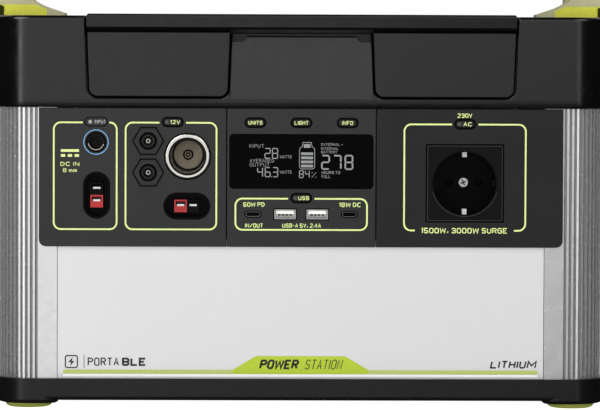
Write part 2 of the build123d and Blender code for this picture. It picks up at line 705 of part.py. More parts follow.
def power_port_bezels():
    bezels = []
    for centre, along in power_ports():
        x, z = centre
        cup = from_front(oval(along, 29.7, 17.1), x, z, PANEL_FRONT, PANEL_FRONT + 14)
        cup -= from_front(oval(along, 27.3, 14.7), x, z, PANEL_FRONT - 1, PANEL_FRONT + 10)
        width, height = (16.2, 8.1) if along[0] else (8.1, 16.2)
        cup -= from_front(Rectangle(width, height), x, z, PANEL_FRONT + 9, PANEL_FRONT + 15)
        ring = from_front(oval(along, 33, 20.4), x, z, PANEL_BACK, PANEL_BACK + 2)
        ring -= from_front(oval(along, 29.7, 17.1), x, z, PANEL_BACK - 1, PANEL_BACK + 3)
        bezels.append(cup + ring)
    return as_one(bezels)


def power_port_housings(which):
    """One colour of the genderless connector housings: 0 is red, 1 is black."""
    housings = []
    for centre, along in power_ports():
        x, z = power_housing_centres(centre, along)[which]
        side = HOUSING_SIDE
        housing = from_front(Rectangle(side, side), x, z, PANEL_FRONT + 2.0, PANEL_FRONT + 26.6)
        mouth = Rectangle(side - 1.8, CONTACT_SLOT)
        housing -= from_front(mouth, x, z + CONTACT_RISE, PANEL_FRONT + 1, PANEL_FRONT + 13)
        housings.append(housing)
    return as_one(housings)


def power_port_contacts():
    """The flat tongue of each contact, lying in its housing's slot."""
    blades = []
    for centre, along in power_ports():
        for x, z in power_housing_centres(centre, along):
            low = z + CONTACT_RISE - CONTACT_SLOT / 2 + 0.6
            blades.append(from_front(Rectangle(4.6, 1.2), x, low, PANEL_FRONT + 3.0, PANEL_FRONT + 13))
    return as_one(blades)


def ac_socket():
    """A mains socket for a round earthed plug: a square plate with a deep round recess."""
    front = PANEL_FRONT - 0.6
    floor = front + 17.5
    plate = from_front(RectangleRounded(49.0, 49.0, 0.8), AC_X, AC_Z, front, PANEL_BACK + 1.5)
    plate = chamfer(edges_near(plate, Axis.Y, front), 0.8)
    socket = plate + from_front(Circle(22.5), AC_X, AC_Z, PANEL_BACK, floor + 12)
    socket -= from_front(Circle(19.8), AC_X, AC_Z, front - 1, floor)
    mouth = edges_near(socket, Axis.Y, front).filter_by(GeomType.CIRCLE)
    socket = chamfer(mouth.sort_by(SortBy.RADIUS)[-1], 0.9)
    for side in (-1, 1):
        x = AC_X + side * 18.6
        guide = block(x - 1.6, x + 1.6, front + 2.5, floor + 1, AC_Z - 2.6, AC_Z + 2.6)
        socket += guide & from_front(Circle(20.5), AC_X, AC_Z, front, floor + 2)
        socket -= from_front(Circle(2.7), AC_X + side * 9.5, AC_Z, floor - 1, floor + 10)
        slot = block(AC_X - 2.2, AC_X + 2.2, front + 3, floor + 1, -2.2, 2.2)
        socket -= Pos(0, 0, AC_Z + side * 20.4) * slot
    socket -= from_front(Circle(1.5), AC_X, AC_Z, floor - 1, floor + 9)
    return socket


def ac_earth_clips():
    clips = []
    front = PANEL_FRONT - 0.6
    for side in (-1, 1):
        z = AC_Z + side * 20.4
        clip = block(AC_X - 1.4, AC_X + 1.4, front + 3.4, front + 18, z - 0.5, z + 0.5)
        nose = outline([(0, 0), (0.5, -side * 3.4), (8.0, -side * 3.4), (11.0, 0)])
        nose = from_side(nose, front + 4.6, z - side * 0.5, AC_X - 1.4, AC_X + 1.4)
        clips.append(clip + nose)
    return as_one(clips)


def ac_socket_screw():
    floor = PANEL_FRONT - 0.6 + 17.5
    screw = from_front(Circle(2.9), AC_X, AC_Z, floor - 1.6, floor)
    screw += from_front(Circle(1.5), AC_X, AC_Z, floor, floor + 8)
    screw -= block(AC_X - 2.0, AC_X + 2.0, floor - 2, floor - 0.8, AC_Z - 0.35, AC_Z + 0.35)
    return screw - block(AC_X - 0.35, AC_X + 0.35, floor - 2, floor - 0.8, AC_Z - 2.0, AC_Z + 2.0)


# ----------------------------------------------------------------------------- inside
def cell_places():
    for i in range(CELL_COLUMNS):
        for j in range(CELL_ROWS):
            x = (i - (CELL_COLUMNS - 1) / 2) * CELL_PITCH
            y = (j - (CELL_ROWS - 1) / 2) * CELL_PITCH
            yield Pos(x, y, 0)


CELL_BASE = TRAY_FLOOR + 3.0


def battery_case():
    width, depth = CELL_COLUMNS * CELL_PITCH + 6, CELL_ROWS * CELL_PITCH + 6
    case = block(-width / 2, width / 2, -depth / 2, depth / 2, TRAY_FLOOR, CELL_BASE + 52)
    pocket = upright(Circle(CELL_R + 0.1), CELL_BASE, CELL_BASE + 53)
    return case - [place * pocket for place in cell_places()]


def battery_cells():
    cell = upright(Circle(CELL_R), CELL_BASE, CELL_BASE + CELL_H)
    cell = chamfer(edges_near(cell, Axis.Z, CELL_BASE + CELL_H), 0.6)
    return as_one([place * cell for place in cell_places()])


def battery_board():
    z = CELL_BASE + CELL_H
    board = block(-120, 120, -50, 50, z, z + 1.6)
    for i in range(6):
        board += block(-105 + i * 16, -96 + i * 16, -20, -6, z + 1.6, z + 5)
    return board + block(20, 60, -25, 15, z + 1.6, z + 8)


def battery_leads():
    """Two thick leads from the battery board up through the deck to the inverter."""
    z = CELL_BASE + CELL_H + 1.6
    leads = []
    for y in LEAD_Y:
        corner = (LEAD_X, y, LEAD_TOP)
        path = FilletPolyline((LEAD_X, y, z), corner, (LEAD_X + LEAD_REACH, y, LEAD_TOP), radius=8)
        leads.append(sweep(Plane(path @ 0, z_dir=path % 0) * Circle(2.6), path=path))
    return as_one(leads)


def chassis_deck():
    deck = block(-166, 166, -100, 112, DECK_Z, DECK_Z + 2)
    deck -= block(LEAD_X - 8, LEAD_X + 8, 22, 54, DECK_Z - 1, DECK_Z + 3)
    for x in (-158, 158):
        for y in (-90, 102):
            deck += Pos(x, y) * upright(Circle(5), TRAY_FLOOR, DECK_Z)
    return deck


def inverter_board():
    """The inverter's circuit board, its two transformers, capacitors and finned heat sink."""
    z = DECK_Z + 2
    board = block(22, 162, -58, 106, z + 5, z + 7)
    for x in (30, 154):
        for y in (-50, 98):
            board += Pos(x, y) * upright(Circle(3), z, z + 5)
    for y in LEAD_Y:
        board += block(LEAD_X + LEAD_REACH, LEAD_X + LEAD_REACH + 8, y - 5, y + 5, z + 7, 114)
    pieces = [board]
    for y in (-25, 25):
        ring = upright(Circle(20), z + 7, z + 27) - upright(Circle(9), z + 7, z + 27)
        pieces.append(Pos(135, y) * ring)
    for i in range(4):
        pieces.append(Pos(38 + i * 24, -44) * upright(Circle(9), z + 7, z + 42))
    sink = block(56, 106, -20, 96, z + 7, z + 13)
    for i in range(9):
        sink += block(57.5 + i * 5.6, 59.5 + i * 5.6, -20, 96, z + 13, z + 48)
    pieces.append(sink)
    return as_one(pieces)


def charge_controller():
    z = DECK_Z + 2
    board = block(-160, -50, -20, 100, z + 5, z + 6.6)
    for x in (-152, -58):
        for y in (-12, 92):
            board += Pos(x, y) * upright(Circle(3), z, z + 5)
    pieces = [board]
    for i in range(3):
        coil = upright(Circle(13), z + 6.6, z + 20) - upright(Circle(5.5), z + 6.6, z + 20)
        pieces.append(Pos(-136 + i * 31, 70) * coil)
    for i in range(4):
        pieces.append(Pos(-146 + i * 24, 20) * upright(Circle(6), z + 6.6, z + 28))
    return as_one(pieces)


def fan_frames():
    frames = []
    x0, x1 = FAN_X
    frame = from_side(RectangleRounded(FAN_SIDE, FAN_SIDE, 4), 0, FAN_Z, x0, x1)
    frame -= from_side(Circle(FAN_R + 1.5), 0, FAN_Z, x0 - 1, x1 + 1)
    for i in range(3):  # the struts that carry the motor
        strut = from_side(Rectangle(2 * FAN_R + 6, 2.4), 0, 0, x0, x0 + 1.6)
        frame += Pos(0, 0, FAN_Z) * Rot(i * 60, 0, 0) * strut
    frame += from_side(Circle(11), 0, FAN_Z, x0, x0 + 1.6)
    frame += from_side(Circle(1.5), 0, FAN_Z, x0, x1 - 2.5)
    frames.append(frame)
    frames.append(mirrored(frame))
    return as_one(frames)


def fan_rotor():
    """Seven pitched blades on a hub that runs on the frame's shaft."""
    x0, x1 = FAN_X[0] + 2.2, FAN_X[1] - 1.5
    hub = from_side(Circle(12), 0, FAN_Z, x0, x1)
    for i in range(7):
        blade = block(-4.8, 4.8, -0.7, 0.7, 11, FAN_R)
        blade = Pos((x0 + x1) / 2, 0, FAN_Z) * Rot(i * 360 / 7, 0, 0) * Rot(0, 0, 38) * blade
        hub += blade
    return hub - from_side(Circle(1.55), 0, FAN_Z, x0 - 1, x1 - 1.0 + 0.3)


# ------------------------------------------------------------------------------ nodes
def nodes():
    made = {
        "base_tray": base_tray(),
        "base_screws": base_screws(),
        "front_fascia": fascia(-1, PANEL_BOTTOM + 4.0),
        "rear_fascia": fascia(1, HOUSING_BOTTOM),
        "top_housing": top_housing(),
        "storage_tray": storage_tray(),
        "lid": lid(),
        "lid_seal": lid_seal(),
        "lid_hinge_pins": lid_hinge_pins(),
        "dc_panel": dc_panel(),
        "display_panel": display_panel(),
        "ac_panel": ac_panel(),
        "units_button": button(-BUTTON_PITCH, BUTTON_ROW),
        "light_button": button(0, BUTTON_ROW),
        "info_button": button(BUTTON_PITCH, BUTTON_ROW),
        "dc_button": button(DC_BUTTON_X, UPPER_ROW),
        "usb_button": button(0, USB_BUTTON_Z),
        "ac_button": button(AC_X, AC_BUTTON_Z),
        "display_window": display_window(),
        "display_board": display_board(),
        "usb_a_ports": usb_a_ports(),
        "usb_c_ports": usb_c_ports(),
        "input_jack": input_jack(),
        "dc_ports": dc_ports(),
        "jack_contacts": jack_contacts(),
        "car_socket_shell": car_socket_shell(),
        "car_socket_contact": car_socket_contact(),
        "power_port_bezels": power_port_bezels(),
        "power_port_red_housings": power_port_housings(0),
        "power_port_black_housings": power_port_housings(1),
        "power_port_contacts": power_port_contacts(),
        "ac_socket": ac_socket(),
        "ac_earth_clips": ac_earth_clips(),
        "ac_socket_screw": ac_socket_screw(),
        "battery_case": battery_case(),
        "battery_cells": battery_cells(),
        "battery_board": battery_board(),
        "battery_leads": battery_leads(),
        "chassis_deck": chassis_deck(),
        "inverter_board": inverter_board(),
        "charge_controller": charge_controller(),
        "fan_frames": fan_frames(),
    }
    for name, (sx, sy) in corners().items():
        made["foot_" + name] = foot(sx, sy)
        made["corner_post_" + name] = corner_post(sx, sy)
    shell, liner, rotor = handle_shell(), handle_liner(), fan_rotor()
    for side, sx in (("left", -1), ("right", 1)):
        made["side_panel_" + side] = side_panel(sx)
        made["vent_grille_" + side] = vent_grille(sx)
        made[f"handle_{side}_shell"] = shell if sx > 0 else mirrored(shell)
        made[f"handle_{side}_liner"] = liner if sx > 0 else mirrored(liner)
        made["fan_rotor_" + side] = rotor if sx > 0 else mirrored(rotor)
    return made


os.makedirs("parts", exist_ok=True)
for name, piece in nodes().items():
    export_step(piece, f"parts/{name}.step")
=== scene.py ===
import math

import bmesh
import bpy
from mathutils import Matrix, Vector

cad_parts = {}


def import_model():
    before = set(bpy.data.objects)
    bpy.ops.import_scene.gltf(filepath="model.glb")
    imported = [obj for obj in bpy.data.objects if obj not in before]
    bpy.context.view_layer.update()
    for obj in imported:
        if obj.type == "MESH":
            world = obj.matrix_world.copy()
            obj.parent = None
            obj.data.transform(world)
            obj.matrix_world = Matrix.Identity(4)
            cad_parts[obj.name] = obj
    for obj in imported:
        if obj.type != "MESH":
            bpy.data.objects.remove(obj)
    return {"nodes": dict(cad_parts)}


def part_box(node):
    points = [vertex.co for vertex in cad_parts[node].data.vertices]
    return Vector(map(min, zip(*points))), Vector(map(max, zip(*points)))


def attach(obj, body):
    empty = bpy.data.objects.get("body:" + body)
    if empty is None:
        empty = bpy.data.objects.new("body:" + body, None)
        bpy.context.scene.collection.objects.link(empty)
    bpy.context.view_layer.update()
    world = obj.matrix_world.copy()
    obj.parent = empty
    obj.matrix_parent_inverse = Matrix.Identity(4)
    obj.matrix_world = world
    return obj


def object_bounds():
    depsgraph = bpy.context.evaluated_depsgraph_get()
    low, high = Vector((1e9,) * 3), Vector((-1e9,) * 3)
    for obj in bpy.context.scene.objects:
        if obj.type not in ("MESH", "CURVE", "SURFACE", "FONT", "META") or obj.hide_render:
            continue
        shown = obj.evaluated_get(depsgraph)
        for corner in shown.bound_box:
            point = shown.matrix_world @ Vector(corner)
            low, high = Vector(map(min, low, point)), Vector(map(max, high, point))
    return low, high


# Portable power station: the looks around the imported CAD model. Every CAD node gets a
# material made of nodes, and what is printed, lit or set into the panels is added here.
#
# The artwork is laid out in millimetres on faces that look forwards (-Y), from the boxes
# of the CAD nodes that it belongs to, and turned to metres when a piece is made.

MM = 0.001
POST_RADIUS = 20.0  # of the round corner of each post

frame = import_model()
cad_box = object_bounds()
NODES = frame["nodes"]


class Area:
    """The box of a CAD node seen from the front, in millimetres."""

    def __init__(self, node):
        low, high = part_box(node)
        self.left, self.face, self.bottom = (value / MM for value in low)
        self.right, self.back, self.top = (value / MM for value in high)
        self.x = (self.left + self.right) / 2
        self.z = (self.bottom + self.top) / 2


# ------------------------------------------------------------------------ materials
class Finish:
    """A material in the making: a Principled shader and the textures that feed it."""

    def __init__(self, name, colour, roughness, metallic=0.0, **even):
        self.material = bpy.data.materials.new(name)
        self.material.use_nodes = True
        self.tree = self.material.node_tree
        self.shader = self.tree.nodes["Principled BSDF"]
        self.socket("Base Color", (*colour, 1.0))
        self.socket("Roughness", roughness)
        self.socket("Metallic", metallic)
        for words, value in even.items():
            self.socket(words.replace("_", " "), value)
        self.place = self.node("ShaderNodeTexCoord").outputs["Object"]

    def socket(self, name, value):
        self.shader.inputs[name].default_value = value

    def node(self, kind, **inputs):
        """A new node, with the inputs named in words joined by underscores."""
        made = self.tree.nodes.new(kind)
        for name, value in inputs.items():
            made.inputs[name.replace("_", " ")].default_value = value
        return made

    def link(self, source, target):
        self.tree.links.new(source, target)

    def stretched(self, x, y, z):
        """The place on the object, drawn out along an axis to give brushed grain."""
        mapping = self.node("ShaderNodeMapping")
        mapping.inputs["Scale"].default_value = (x, y, z)
        self.link(self.place, mapping.inputs["Vector"])
        return mapping.outputs["Vector"]

    def noise(self, size, detail=3.0, place=None):
        """Cloudy noise with features of that size in millimetres."""
        made = self.node("ShaderNodeTexNoise", Scale=1 / (size * MM), Detail=detail)
        self.link(place or self.place, made.inputs["Vector"])
        return made.outputs["Fac"]

    def cells(self, size):
        """Distance to the nearest of scattered points, for pebbled grain."""
        made = self.node("ShaderNodeTexVoronoi", Scale=1 / (size * MM))
        self.link(self.place, made.inputs["Vector"])
        return made.outputs["Distance"]

    def span(self, source, low, high, start=0.3, end=0.7):
        """A texture value mapped to run from low to high."""
        made = self.node("ShaderNodeMapRange")
        made.inputs["From Min"].default_value = start
        made.inputs["From Max"].default_value = end
        made.inputs["To Min"].default_value = low
        made.inputs["To Max"].default_value = high
        self.link(source, made.inputs["Value"])
        return made.outputs["Result"]

    def times(self, first, second):
        made = self.node("ShaderNodeMath")
        made.operation = "MULTIPLY"
        self.link(first, made.inputs[0])
        self.link(second, made.inputs[1])
        return made.outputs["Value"]

    def mix(self, factor, first, second):
        """A colour between two others; either may be a texture or a fixed colour."""
        made = self.node("ShaderNodeMix")
        made.data_type = "RGBA"
        self.link(factor, made.inputs["Factor"])
        for socket, value in ((made.inputs[6], first), (made.inputs[7], second)):
            if isinstance(value, tuple):
                socket.default_value = (*value, 1.0)
            else:
                self.link(value, socket)
        return made.outputs[2]

    def edges(self, radius):
        """How near a point is to a sharp edge, from 0 on a flat to 1 on the edge."""
        bevel = self.node("ShaderNodeBevel", Radius=radius * MM)
        bevel.samples = 4
        geometry = self.node("ShaderNodeNewGeometry")
        dot = self.node("ShaderNodeVectorMath")
        dot.operation = "DOT_PRODUCT"
        self.link(bevel.outputs["Normal"], dot.inputs[0])
        self.link(geometry.outputs["Normal"], dot.inputs[1])
        return self.span(dot.outputs["Value"], 1.0, 0.0, 0.86, 0.995)

    def vector(self, operation, source, other=(0.0, 0.0, 0.0)):
        made = self.node("ShaderNodeVectorMath")
        made.operation = operation
        made.inputs[1].default_value = other
        self.link(source, made.inputs[0])
        return made

    def paint(self, source):
        self.link(source, self.shader.inputs["Base Color"])

    def gloss(self, source):
        self.link(source, self.shader.inputs["Roughness"])

    def bump(self, height, depth, strength=1.0):
        """Relief of that depth in millimetres."""
        made = self.node("ShaderNodeBump", Strength=strength, Distance=depth * MM)
        self.link(height, made.inputs["Height"])
        self.link(made.outputs["Normal"], self.shader.inputs["Normal"])


def shade(colour, factor):
    return tuple(min(1.0, channel * factor) for channel in colour)


def moulded(name, colour, roughness, grain=0.5, depth=0.012, wear_and_highlight=0.5, **even):
    """Moulded plastic: spark-eroded grain, cloudy gloss, and edges painted paler, partly as rubbed wear
    and partly as a painted highlight.
    """
    made = Finish(name, colour, roughness, **even)
    clouds = made.span(made.noise(45), 0.0, 1.0)
    body = made.mix(clouds, shade(colour, 0.88), shade(colour, 1.12))
    # Paler colour on sharp edges: part rubbed wear, part painted highlight for the light that rounded
    # edges catch.
    rubbed_and_highlit = made.times(made.edges(0.7), made.span(made.noise(6), 0.2 * wear_and_highlight, wear_and_highlight))
    worn_and_highlit = tuple(channel * 1.6 + 0.02 * wear_and_highlight for channel in colour)
    made.paint(made.mix(rubbed_and_highlit, body, worn_and_highlit))
    made.gloss(made.span(made.noise(9), roughness - 0.035, roughness + 0.035))
    made.bump(made.cells(grain), depth)
    return made.material


def socket_moulding(name, colour, roughness):
    """Socket plastic, with painted shade: its recess is coloured darker than its face, more so the
    deeper it goes.
    """
    made = Finish(name, colour, roughness, Specular_IOR_Level=0.04)
    axes = made.node("ShaderNodeSeparateXYZ")
    made.link(made.place, axes.inputs["Vector"])
    face = cad_box[0].y + 0.9 * MM
    # Painted shade: the colour darkens with depth into the recess, down to 0.3 of the face colour.
    depth = made.span(axes.outputs["Y"], 0.0, 1.0, face, face + 2.5 * MM)
    clouds = made.mix(made.span(made.noise(12), 0.0, 1.0), shade(colour, 0.9), shade(colour, 1.1))
    made.paint(made.mix(depth, clouds, shade(colour, 0.3)))
    made.gloss(made.span(made.noise(6), roughness - 0.03, roughness + 0.05))
    made.bump(made.noise(0.5, 2.0), 0.002)
    return made.material


def fluted(name, colour, roughness):
    """Blasted aluminium, with painted shade in the flutes that darkens further towards the outer side
    of the corner.
    """
    made = Finish(name, colour, roughness, metallic=0.8)
    post = Area("corner_post_front_left")
    radius = POST_RADIUS * MM
    axis = (-post.left * MM - radius, -post.face * MM - radius, 10.0)
    beyond = made.vector("SUBTRACT", made.vector("ABSOLUTE", made.place).outputs[0], axis)
    reach = made.vector("LENGTH", made.vector("MAXIMUM", beyond.outputs[0]).outputs[0])
    crest = made.span(reach.outputs["Value"], 0.0, 1.0, radius - 0.4 * MM, radius - 0.05 * MM)
    axes = made.node("ShaderNodeSeparateXYZ")
    made.link(beyond.outputs[0], axes.inputs["Vector"])
    # Painted shade: flute troughs are darkened, more towards the outer side; crests and flats keep the
    # metal's colour.
    turned = made.span(axes.outputs["X"], 0.0, 1.0, 0.0, radius)
    flute_shade = made.mix(turned, shade(colour, 0.38), shade(colour, 0.16))
    made.paint(made.mix(crest, flute_shade, colour))
    made.gloss(made.span(made.noise(6), roughness - 0.03, roughness + 0.03))
    made.bump(made.noise(0.55, 2.0), 0.0008)
    return made.material


def powder_coat(name, colour, roughness, metallic):
    """Satin silver coating: metal flake under a slightly pebbled surface."""
    made = Finish(name, colour, roughness, metallic)
    flakes = made.span(made.noise(0.45, 3.0), 0.0, 1.0, 0.35, 0.65)
    body = made.mix(flakes, shade(colour, 0.965), shade(colour, 1.03))
    clouds = made.mix(made.span(made.noise(120), 0.0, 1.0), body, shade(colour, 0.985))
    chipped = made.times(made.edges(0.35), made.span(made.noise(3), 0.0, 0.5, 0.45, 0.65))
    made.paint(made.mix(chipped, clouds, shade(colour, 0.7)))
    made.gloss(made.span(made.noise(20), roughness - 0.03, roughness + 0.04))
    made.bump(made.noise(1.1, 1.0), 0.006)
    return made.material


def rubber(name, colour, roughness, grain, depth, dust=0.25, **even):
    """Soft moulded rubber: matt, finely pebbled, and a little dusty in patches."""
    made = Finish(name, colour, roughness, **even)
    patches = made.span(made.noise(18, 4.0), 0.0, dust, 0.4, 0.75)
    body = made.mix(made.span(made.noise(2.5), 0.0, 1.0), shade(colour, 0.93), shade(colour, 1.05))
    grey = tuple(channel * 0.7 + 0.08 for channel in colour)
    made.paint(made.mix(patches, body, grey))
    made.gloss(made.span(made.noise(5), roughness - 0.05, roughness + 0.06))
    made.bump(made.cells(grain), depth)
    return made.material


def metal(name, colour, roughness, along=(1, 1, 1), size=0.4):
    """Plated or brushed metal: fine drawn grain, darker in patches."""
    made = Finish(name, colour, roughness, metallic=1.0)
    grain = made.noise(size, 3.0, made.stretched(*along))
    body = made.mix(made.span(grain, 0.0, 1.0), shade(colour, 0.85), shade(colour, 1.08))
    dull = made.mix(made.span(made.noise(7, 3.0), 0.0, 0.5, 0.45, 0.8), body, shade(colour, 0.6))
    made.paint(dull)
    made.gloss(made.span(grain, roughness - 0.05, roughness + 0.08))
    made.bump(grain, 0.004)
    return made.material


def ink(name, colour, roughness=0.5, glow=0.0):
    """Screen-printed ink: a thin even film, slightly mottled by the grain under it."""
    made = Finish(name, colour, roughness)
    mottle = made.span(made.noise(0.8, 3.0), 0.0, 1.0)
    made.paint(made.mix(mottle, shade(colour, 0.93), shade(colour, 1.04)))
    made.gloss(made.span(made.noise(2.0), roughness - 0.04, roughness + 0.06))
    made.bump(made.noise(0.3, 2.0), 0.003)
    if glow:
        made.socket("Emission Color", (*colour, 1.0))
        made.socket("Emission Strength", glow)
    return made.material


def circuit(name, colour):
    """Solder mask over copper tracks, which show as a faint squared relief."""
    made = Finish(name, colour, 0.35)
    tracks = made.node("ShaderNodeTexBrick", Scale=1 / (6 * MM))
    tracks.inputs["Color1"].default_value = (*shade(colour, 0.8), 1.0)
    tracks.inputs["Color2"].default_value = (*shade(colour, 1.2), 1.0)
    tracks.inputs["Mortar"].default_value = (*shade(colour, 1.9), 1.0)
    tracks.inputs["Mortar Size"].default_value = 0.04
    made.link(made.place, tracks.inputs["Vector"])
    made.paint(made.mix(made.span(made.noise(3), 0.0, 0.4), tracks.outputs["Color"], colour))
    made.gloss(made.span(made.noise(2), 0.28, 0.42))
    made.bump(tracks.outputs["Fac"], 0.02)
    return made.material


def black_glass(name, colour, roughness, level):
    """Polished dark acrylic with faint wiping marks."""
    made = Finish(name, colour, roughness, Specular_IOR_Level=level)
    smears = made.noise(14, 4.0, made.stretched(1, 1, 4))
    made.gloss(made.span(smears, roughness - 0.02, roughness + 0.05))
    made.paint(made.mix(made.span(smears, 0.0, 1.0), shade(colour, 0.8), shade(colour, 1.2)))
    made.bump(made.noise(8, 1.0), 0.002)
    return made.material


HOUSING = (0.0018, 0.0018, 0.0019)
PANEL = (0.007, 0.007, 0.0072)
TRAY = (0.003, 0.003, 0.0032)
ALUMINIUM = (0.70, 0.70, 0.705)
SILVER = (0.635, 0.635, 0.635)
LIME_RUBBER = (0.19, 0.215, 0.013)
LIME_CORE = (0.57, 0.575, 0.022)
SAGE = (0.41, 0.393, 0.222)
LIME_PRINT = (0.58, 0.69, 0.25)

FINISHES = {
    "housing_plastic": moulded("moulded_housing", HOUSING, 0.25, depth=0.007, wear_and_highlight=0.5),
    "panel_plastic": moulded("moulded_panel", PANEL, 0.32, grain=0.4),
    "tray_plastic": moulded("moulded_tray", TRAY, 0.32, grain=0.6, Specular_IOR_Level=0.38),
    "post_aluminium": fluted("blasted_aluminium", ALUMINIUM, 0.25),
    "sheet_silver": powder_coat("silver_coating", SILVER, 0.45, 0.35),
    "grille_plastic": moulded("moulded_grille", TRAY, 0.5),
    "foot_rubber": rubber("foot_rubber_lime", LIME_RUBBER, 0.6, 0.4, 0.02, dust=0.08),
    "handle_grip": rubber("sage_grip", SAGE, 0.6, 0.5, 0.03, dust=0.12),
    "handle_core": rubber("lime_core", LIME_CORE, 0.42, 0.5, 0.012, dust=0.1),
    "seal_rubber": rubber("foam_seal", (0.02, 0.02, 0.02), 0.8, 0.7, 0.08),
    "screw_steel": metal("zinc_steel", (0.62, 0.62, 0.63), 0.3),
    "button_plastic": moulded("moulded_button", (0.004, 0.004, 0.004), 0.4, depth=0.006),
    "window_plastic": black_glass("display_window", (0.0012, 0.0012, 0.0014), 0.09, 0.02),
    "port_steel": metal("nickel_steel", (0.68, 0.67, 0.65), 0.28, (1, 8, 1)),
    "port_plastic": moulded("port_plastic_black", (0.006, 0.006, 0.0065), 0.38, depth=0.006),
    "connector_red": moulded("connector_red_plastic", (0.34, 0.006, 0.009), 0.35, depth=0.008),
    "connector_black": moulded(
        "connector_black_plastic", (0.0015, 0.0015, 0.0015), 0.4, wear_and_highlight=0.1, Specular_IOR_Level=0.1
    ),
    "contact_silver": metal("silver_contact", (0.85, 0.85, 0.83), 0.22),
    "socket_chrome": metal("bright_nickel", (0.80, 0.78, 0.73), 0.2, (1, 1, 1), 0.8),
    "socket_brass": metal("dull_brass", (0.46, 0.40, 0.31), 0.5),
    "mains_plastic": socket_moulding("socket_plastic", (0.0054, 0.0054, 0.0056), 0.25),
    "circuit_board": circuit("solder_mask", (0.01, 0.09, 0.035)),
    "cell_case": metal("cell_wrap", (0.12, 0.25, 0.5), 0.4, (1, 1, 6)),
    "holder_plastic": moulded("moulded_holder", (0.03, 0.03, 0.03), 0.55),
    "deck_steel": metal("zinc_sheet", (0.52, 0.52, 0.53), 0.4, (1, 6, 1)),
    "heat_sink": metal("extruded_sink", (0.62, 0.62, 0.64), 0.38, (1, 10, 1)),
    "lead_red": rubber("silicone_lead", (0.5, 0.012, 0.012), 0.5, 0.6, 0.01),
    "fan_plastic": moulded("moulded_fan", (0.012, 0.012, 0.012), 0.42),
}

LIME_INK = ink("lime_ink", LIME_PRINT)
DARK_INK = ink("dark_ink", (0.008, 0.008, 0.008), 0.4)
GREY_INK = ink("grey_ink", (0.32, 0.32, 0.32))
SEGMENT_INK = ink("display_segments", (0.20, 0.205, 0.205), 0.4, 0.12)
FAINT_INK = ink("display_captions", (0.15, 0.153, 0.153), 0.4, 0.1)
WHITE_PLASTIC = moulded("white_plastic", (0.8, 0.8, 0.78), 0.4, wear_and_highlight=0.0)
BLUE_RING = moulded("blue_plastic", (0.13, 0.31, 0.55), 0.3, wear_and_highlight=0.2, depth=0.003)
BEZEL_BLACK = moulded(
    "bezel_plastic", (0.001, 0.001, 0.001), 0.2, depth=0.003, wear_and_highlight=0.05, Specular_IOR_Level=0.05
)
# Painted shadow: a near-black, almost unreflecting sheet for the pockets behind the lid's flaps.
POCKET_SHADE = rubber(
    "pocket_lining", (0.001, 0.001, 0.001), 0.9, 0.6, 0.01, dust=0.0, Specular_IOR_Level=0.02
)
# Painted shade: dark olive for the shaded outer side of each handle's ankle.
OLIVE_SHADE = rubber(
    "ankle_trim", (0.022, 0.022, 0.002), 0.7, 0.5, 0.01, dust=0.0, Specular_IOR_Level=0.1
)
STEEL = metal("ring_steel", (0.6, 0.58, 0.55), 0.3)
DARK_STEEL = metal("dark_steel", (0.10, 0.09, 0.08), 0.35)
SOCKET_BROWN = moulded(
    "socket_insulator", (0.007, 0.005, 0.0035), 0.5, wear_and_highlight=0.1, Specular_IOR_Level=0.15
)
TINNED = powder_coat("tinned_clip", (0.55, 0.55, 0.55), 0.3, 0.3)
# Painted highlight: a paler line for the light caught by the mains socket's edges.
EDGE_LIGHT = moulded("painted_edge_highlight", (0.032, 0.032, 0.033), 0.3, wear_and_highlight=0.1)
SHELL_RIM = metal("shell_rim", (0.24, 0.21, 0.19), 0.35)
LED_LENS = ink("led_lens", (0.30, 0.30, 0.29), 0.2)
LED_DIM = ink("led_lens_dim", (0.05, 0.055, 0.045), 0.2)

# Nodes that look different from the rest of their slot
OWN_FINISHES = {
    # Painted shade: the USB-C ports are made black for the shadow inside their openings.
    "usb_c_ports": BEZEL_BLACK,
    # Painted shade: the jack's contacts are made near-black for the shadow inside the jack.
    "jack_contacts": metal("jack_sleeve_painted_shade", (0.02, 0.019, 0.018), 0.3),
    "ac_earth_clips": TINNED,
    "input_jack": BEZEL_BLACK,
    "power_port_bezels": BEZEL_BLACK,
    "ac_panel": moulded("moulded_mains_panel", PANEL, 0.32, grain=0.4, Specular_IOR_Level=0.31),
}


def dress_nodes():
    """Gives each CAD node its own finish, or that of its material slot."""
    for name, node in NODES.items():
        for slot in node.material_slots:
            slot.material = OWN_FINISHES.get(name) or FINISHES[slot.material.name.split(".")[0]]


# ------------------------------------------------------------------ flat outlines
def arc(x, z, radius, start, end, steps=8):
    """Points on an arc round x, z, from one angle to another in degrees."""
    angles = [math.radians(start + (end - start) * i / steps) for i in range(steps + 1)]
    return [(x + radius * math.cos(a), z + radius * math.sin(a)) for a in angles]


def circle(x, z, radius, steps=48):
    return arc(x, z, radius, 0, 360, steps)[:-1]


def rounded(left, right, bottom, top, radius, steps=6):
    """A rectangle with round corners."""
    return (
        arc(right - radius, top - radius, radius, 90, 0, steps)
        + arc(right - radius, bottom + radius, radius, 0, -90, steps)
        + arc(left + radius, bottom + radius, radius, 270, 180, steps)
        + arc(left + radius, top - radius, radius, 180, 90, steps)
    )


def stadium(x, z, width, height):
    """A slot with half-round ends."""
    wide, tall = width / 2, height / 2
    return rounded(x - wide, x + wide, z - tall, z + tall, min(wide, tall) - 0.01, 10)


def ring_at(x, z, outer, inner):
    return [circle(x, z, outer), circle(x, z, inner)]


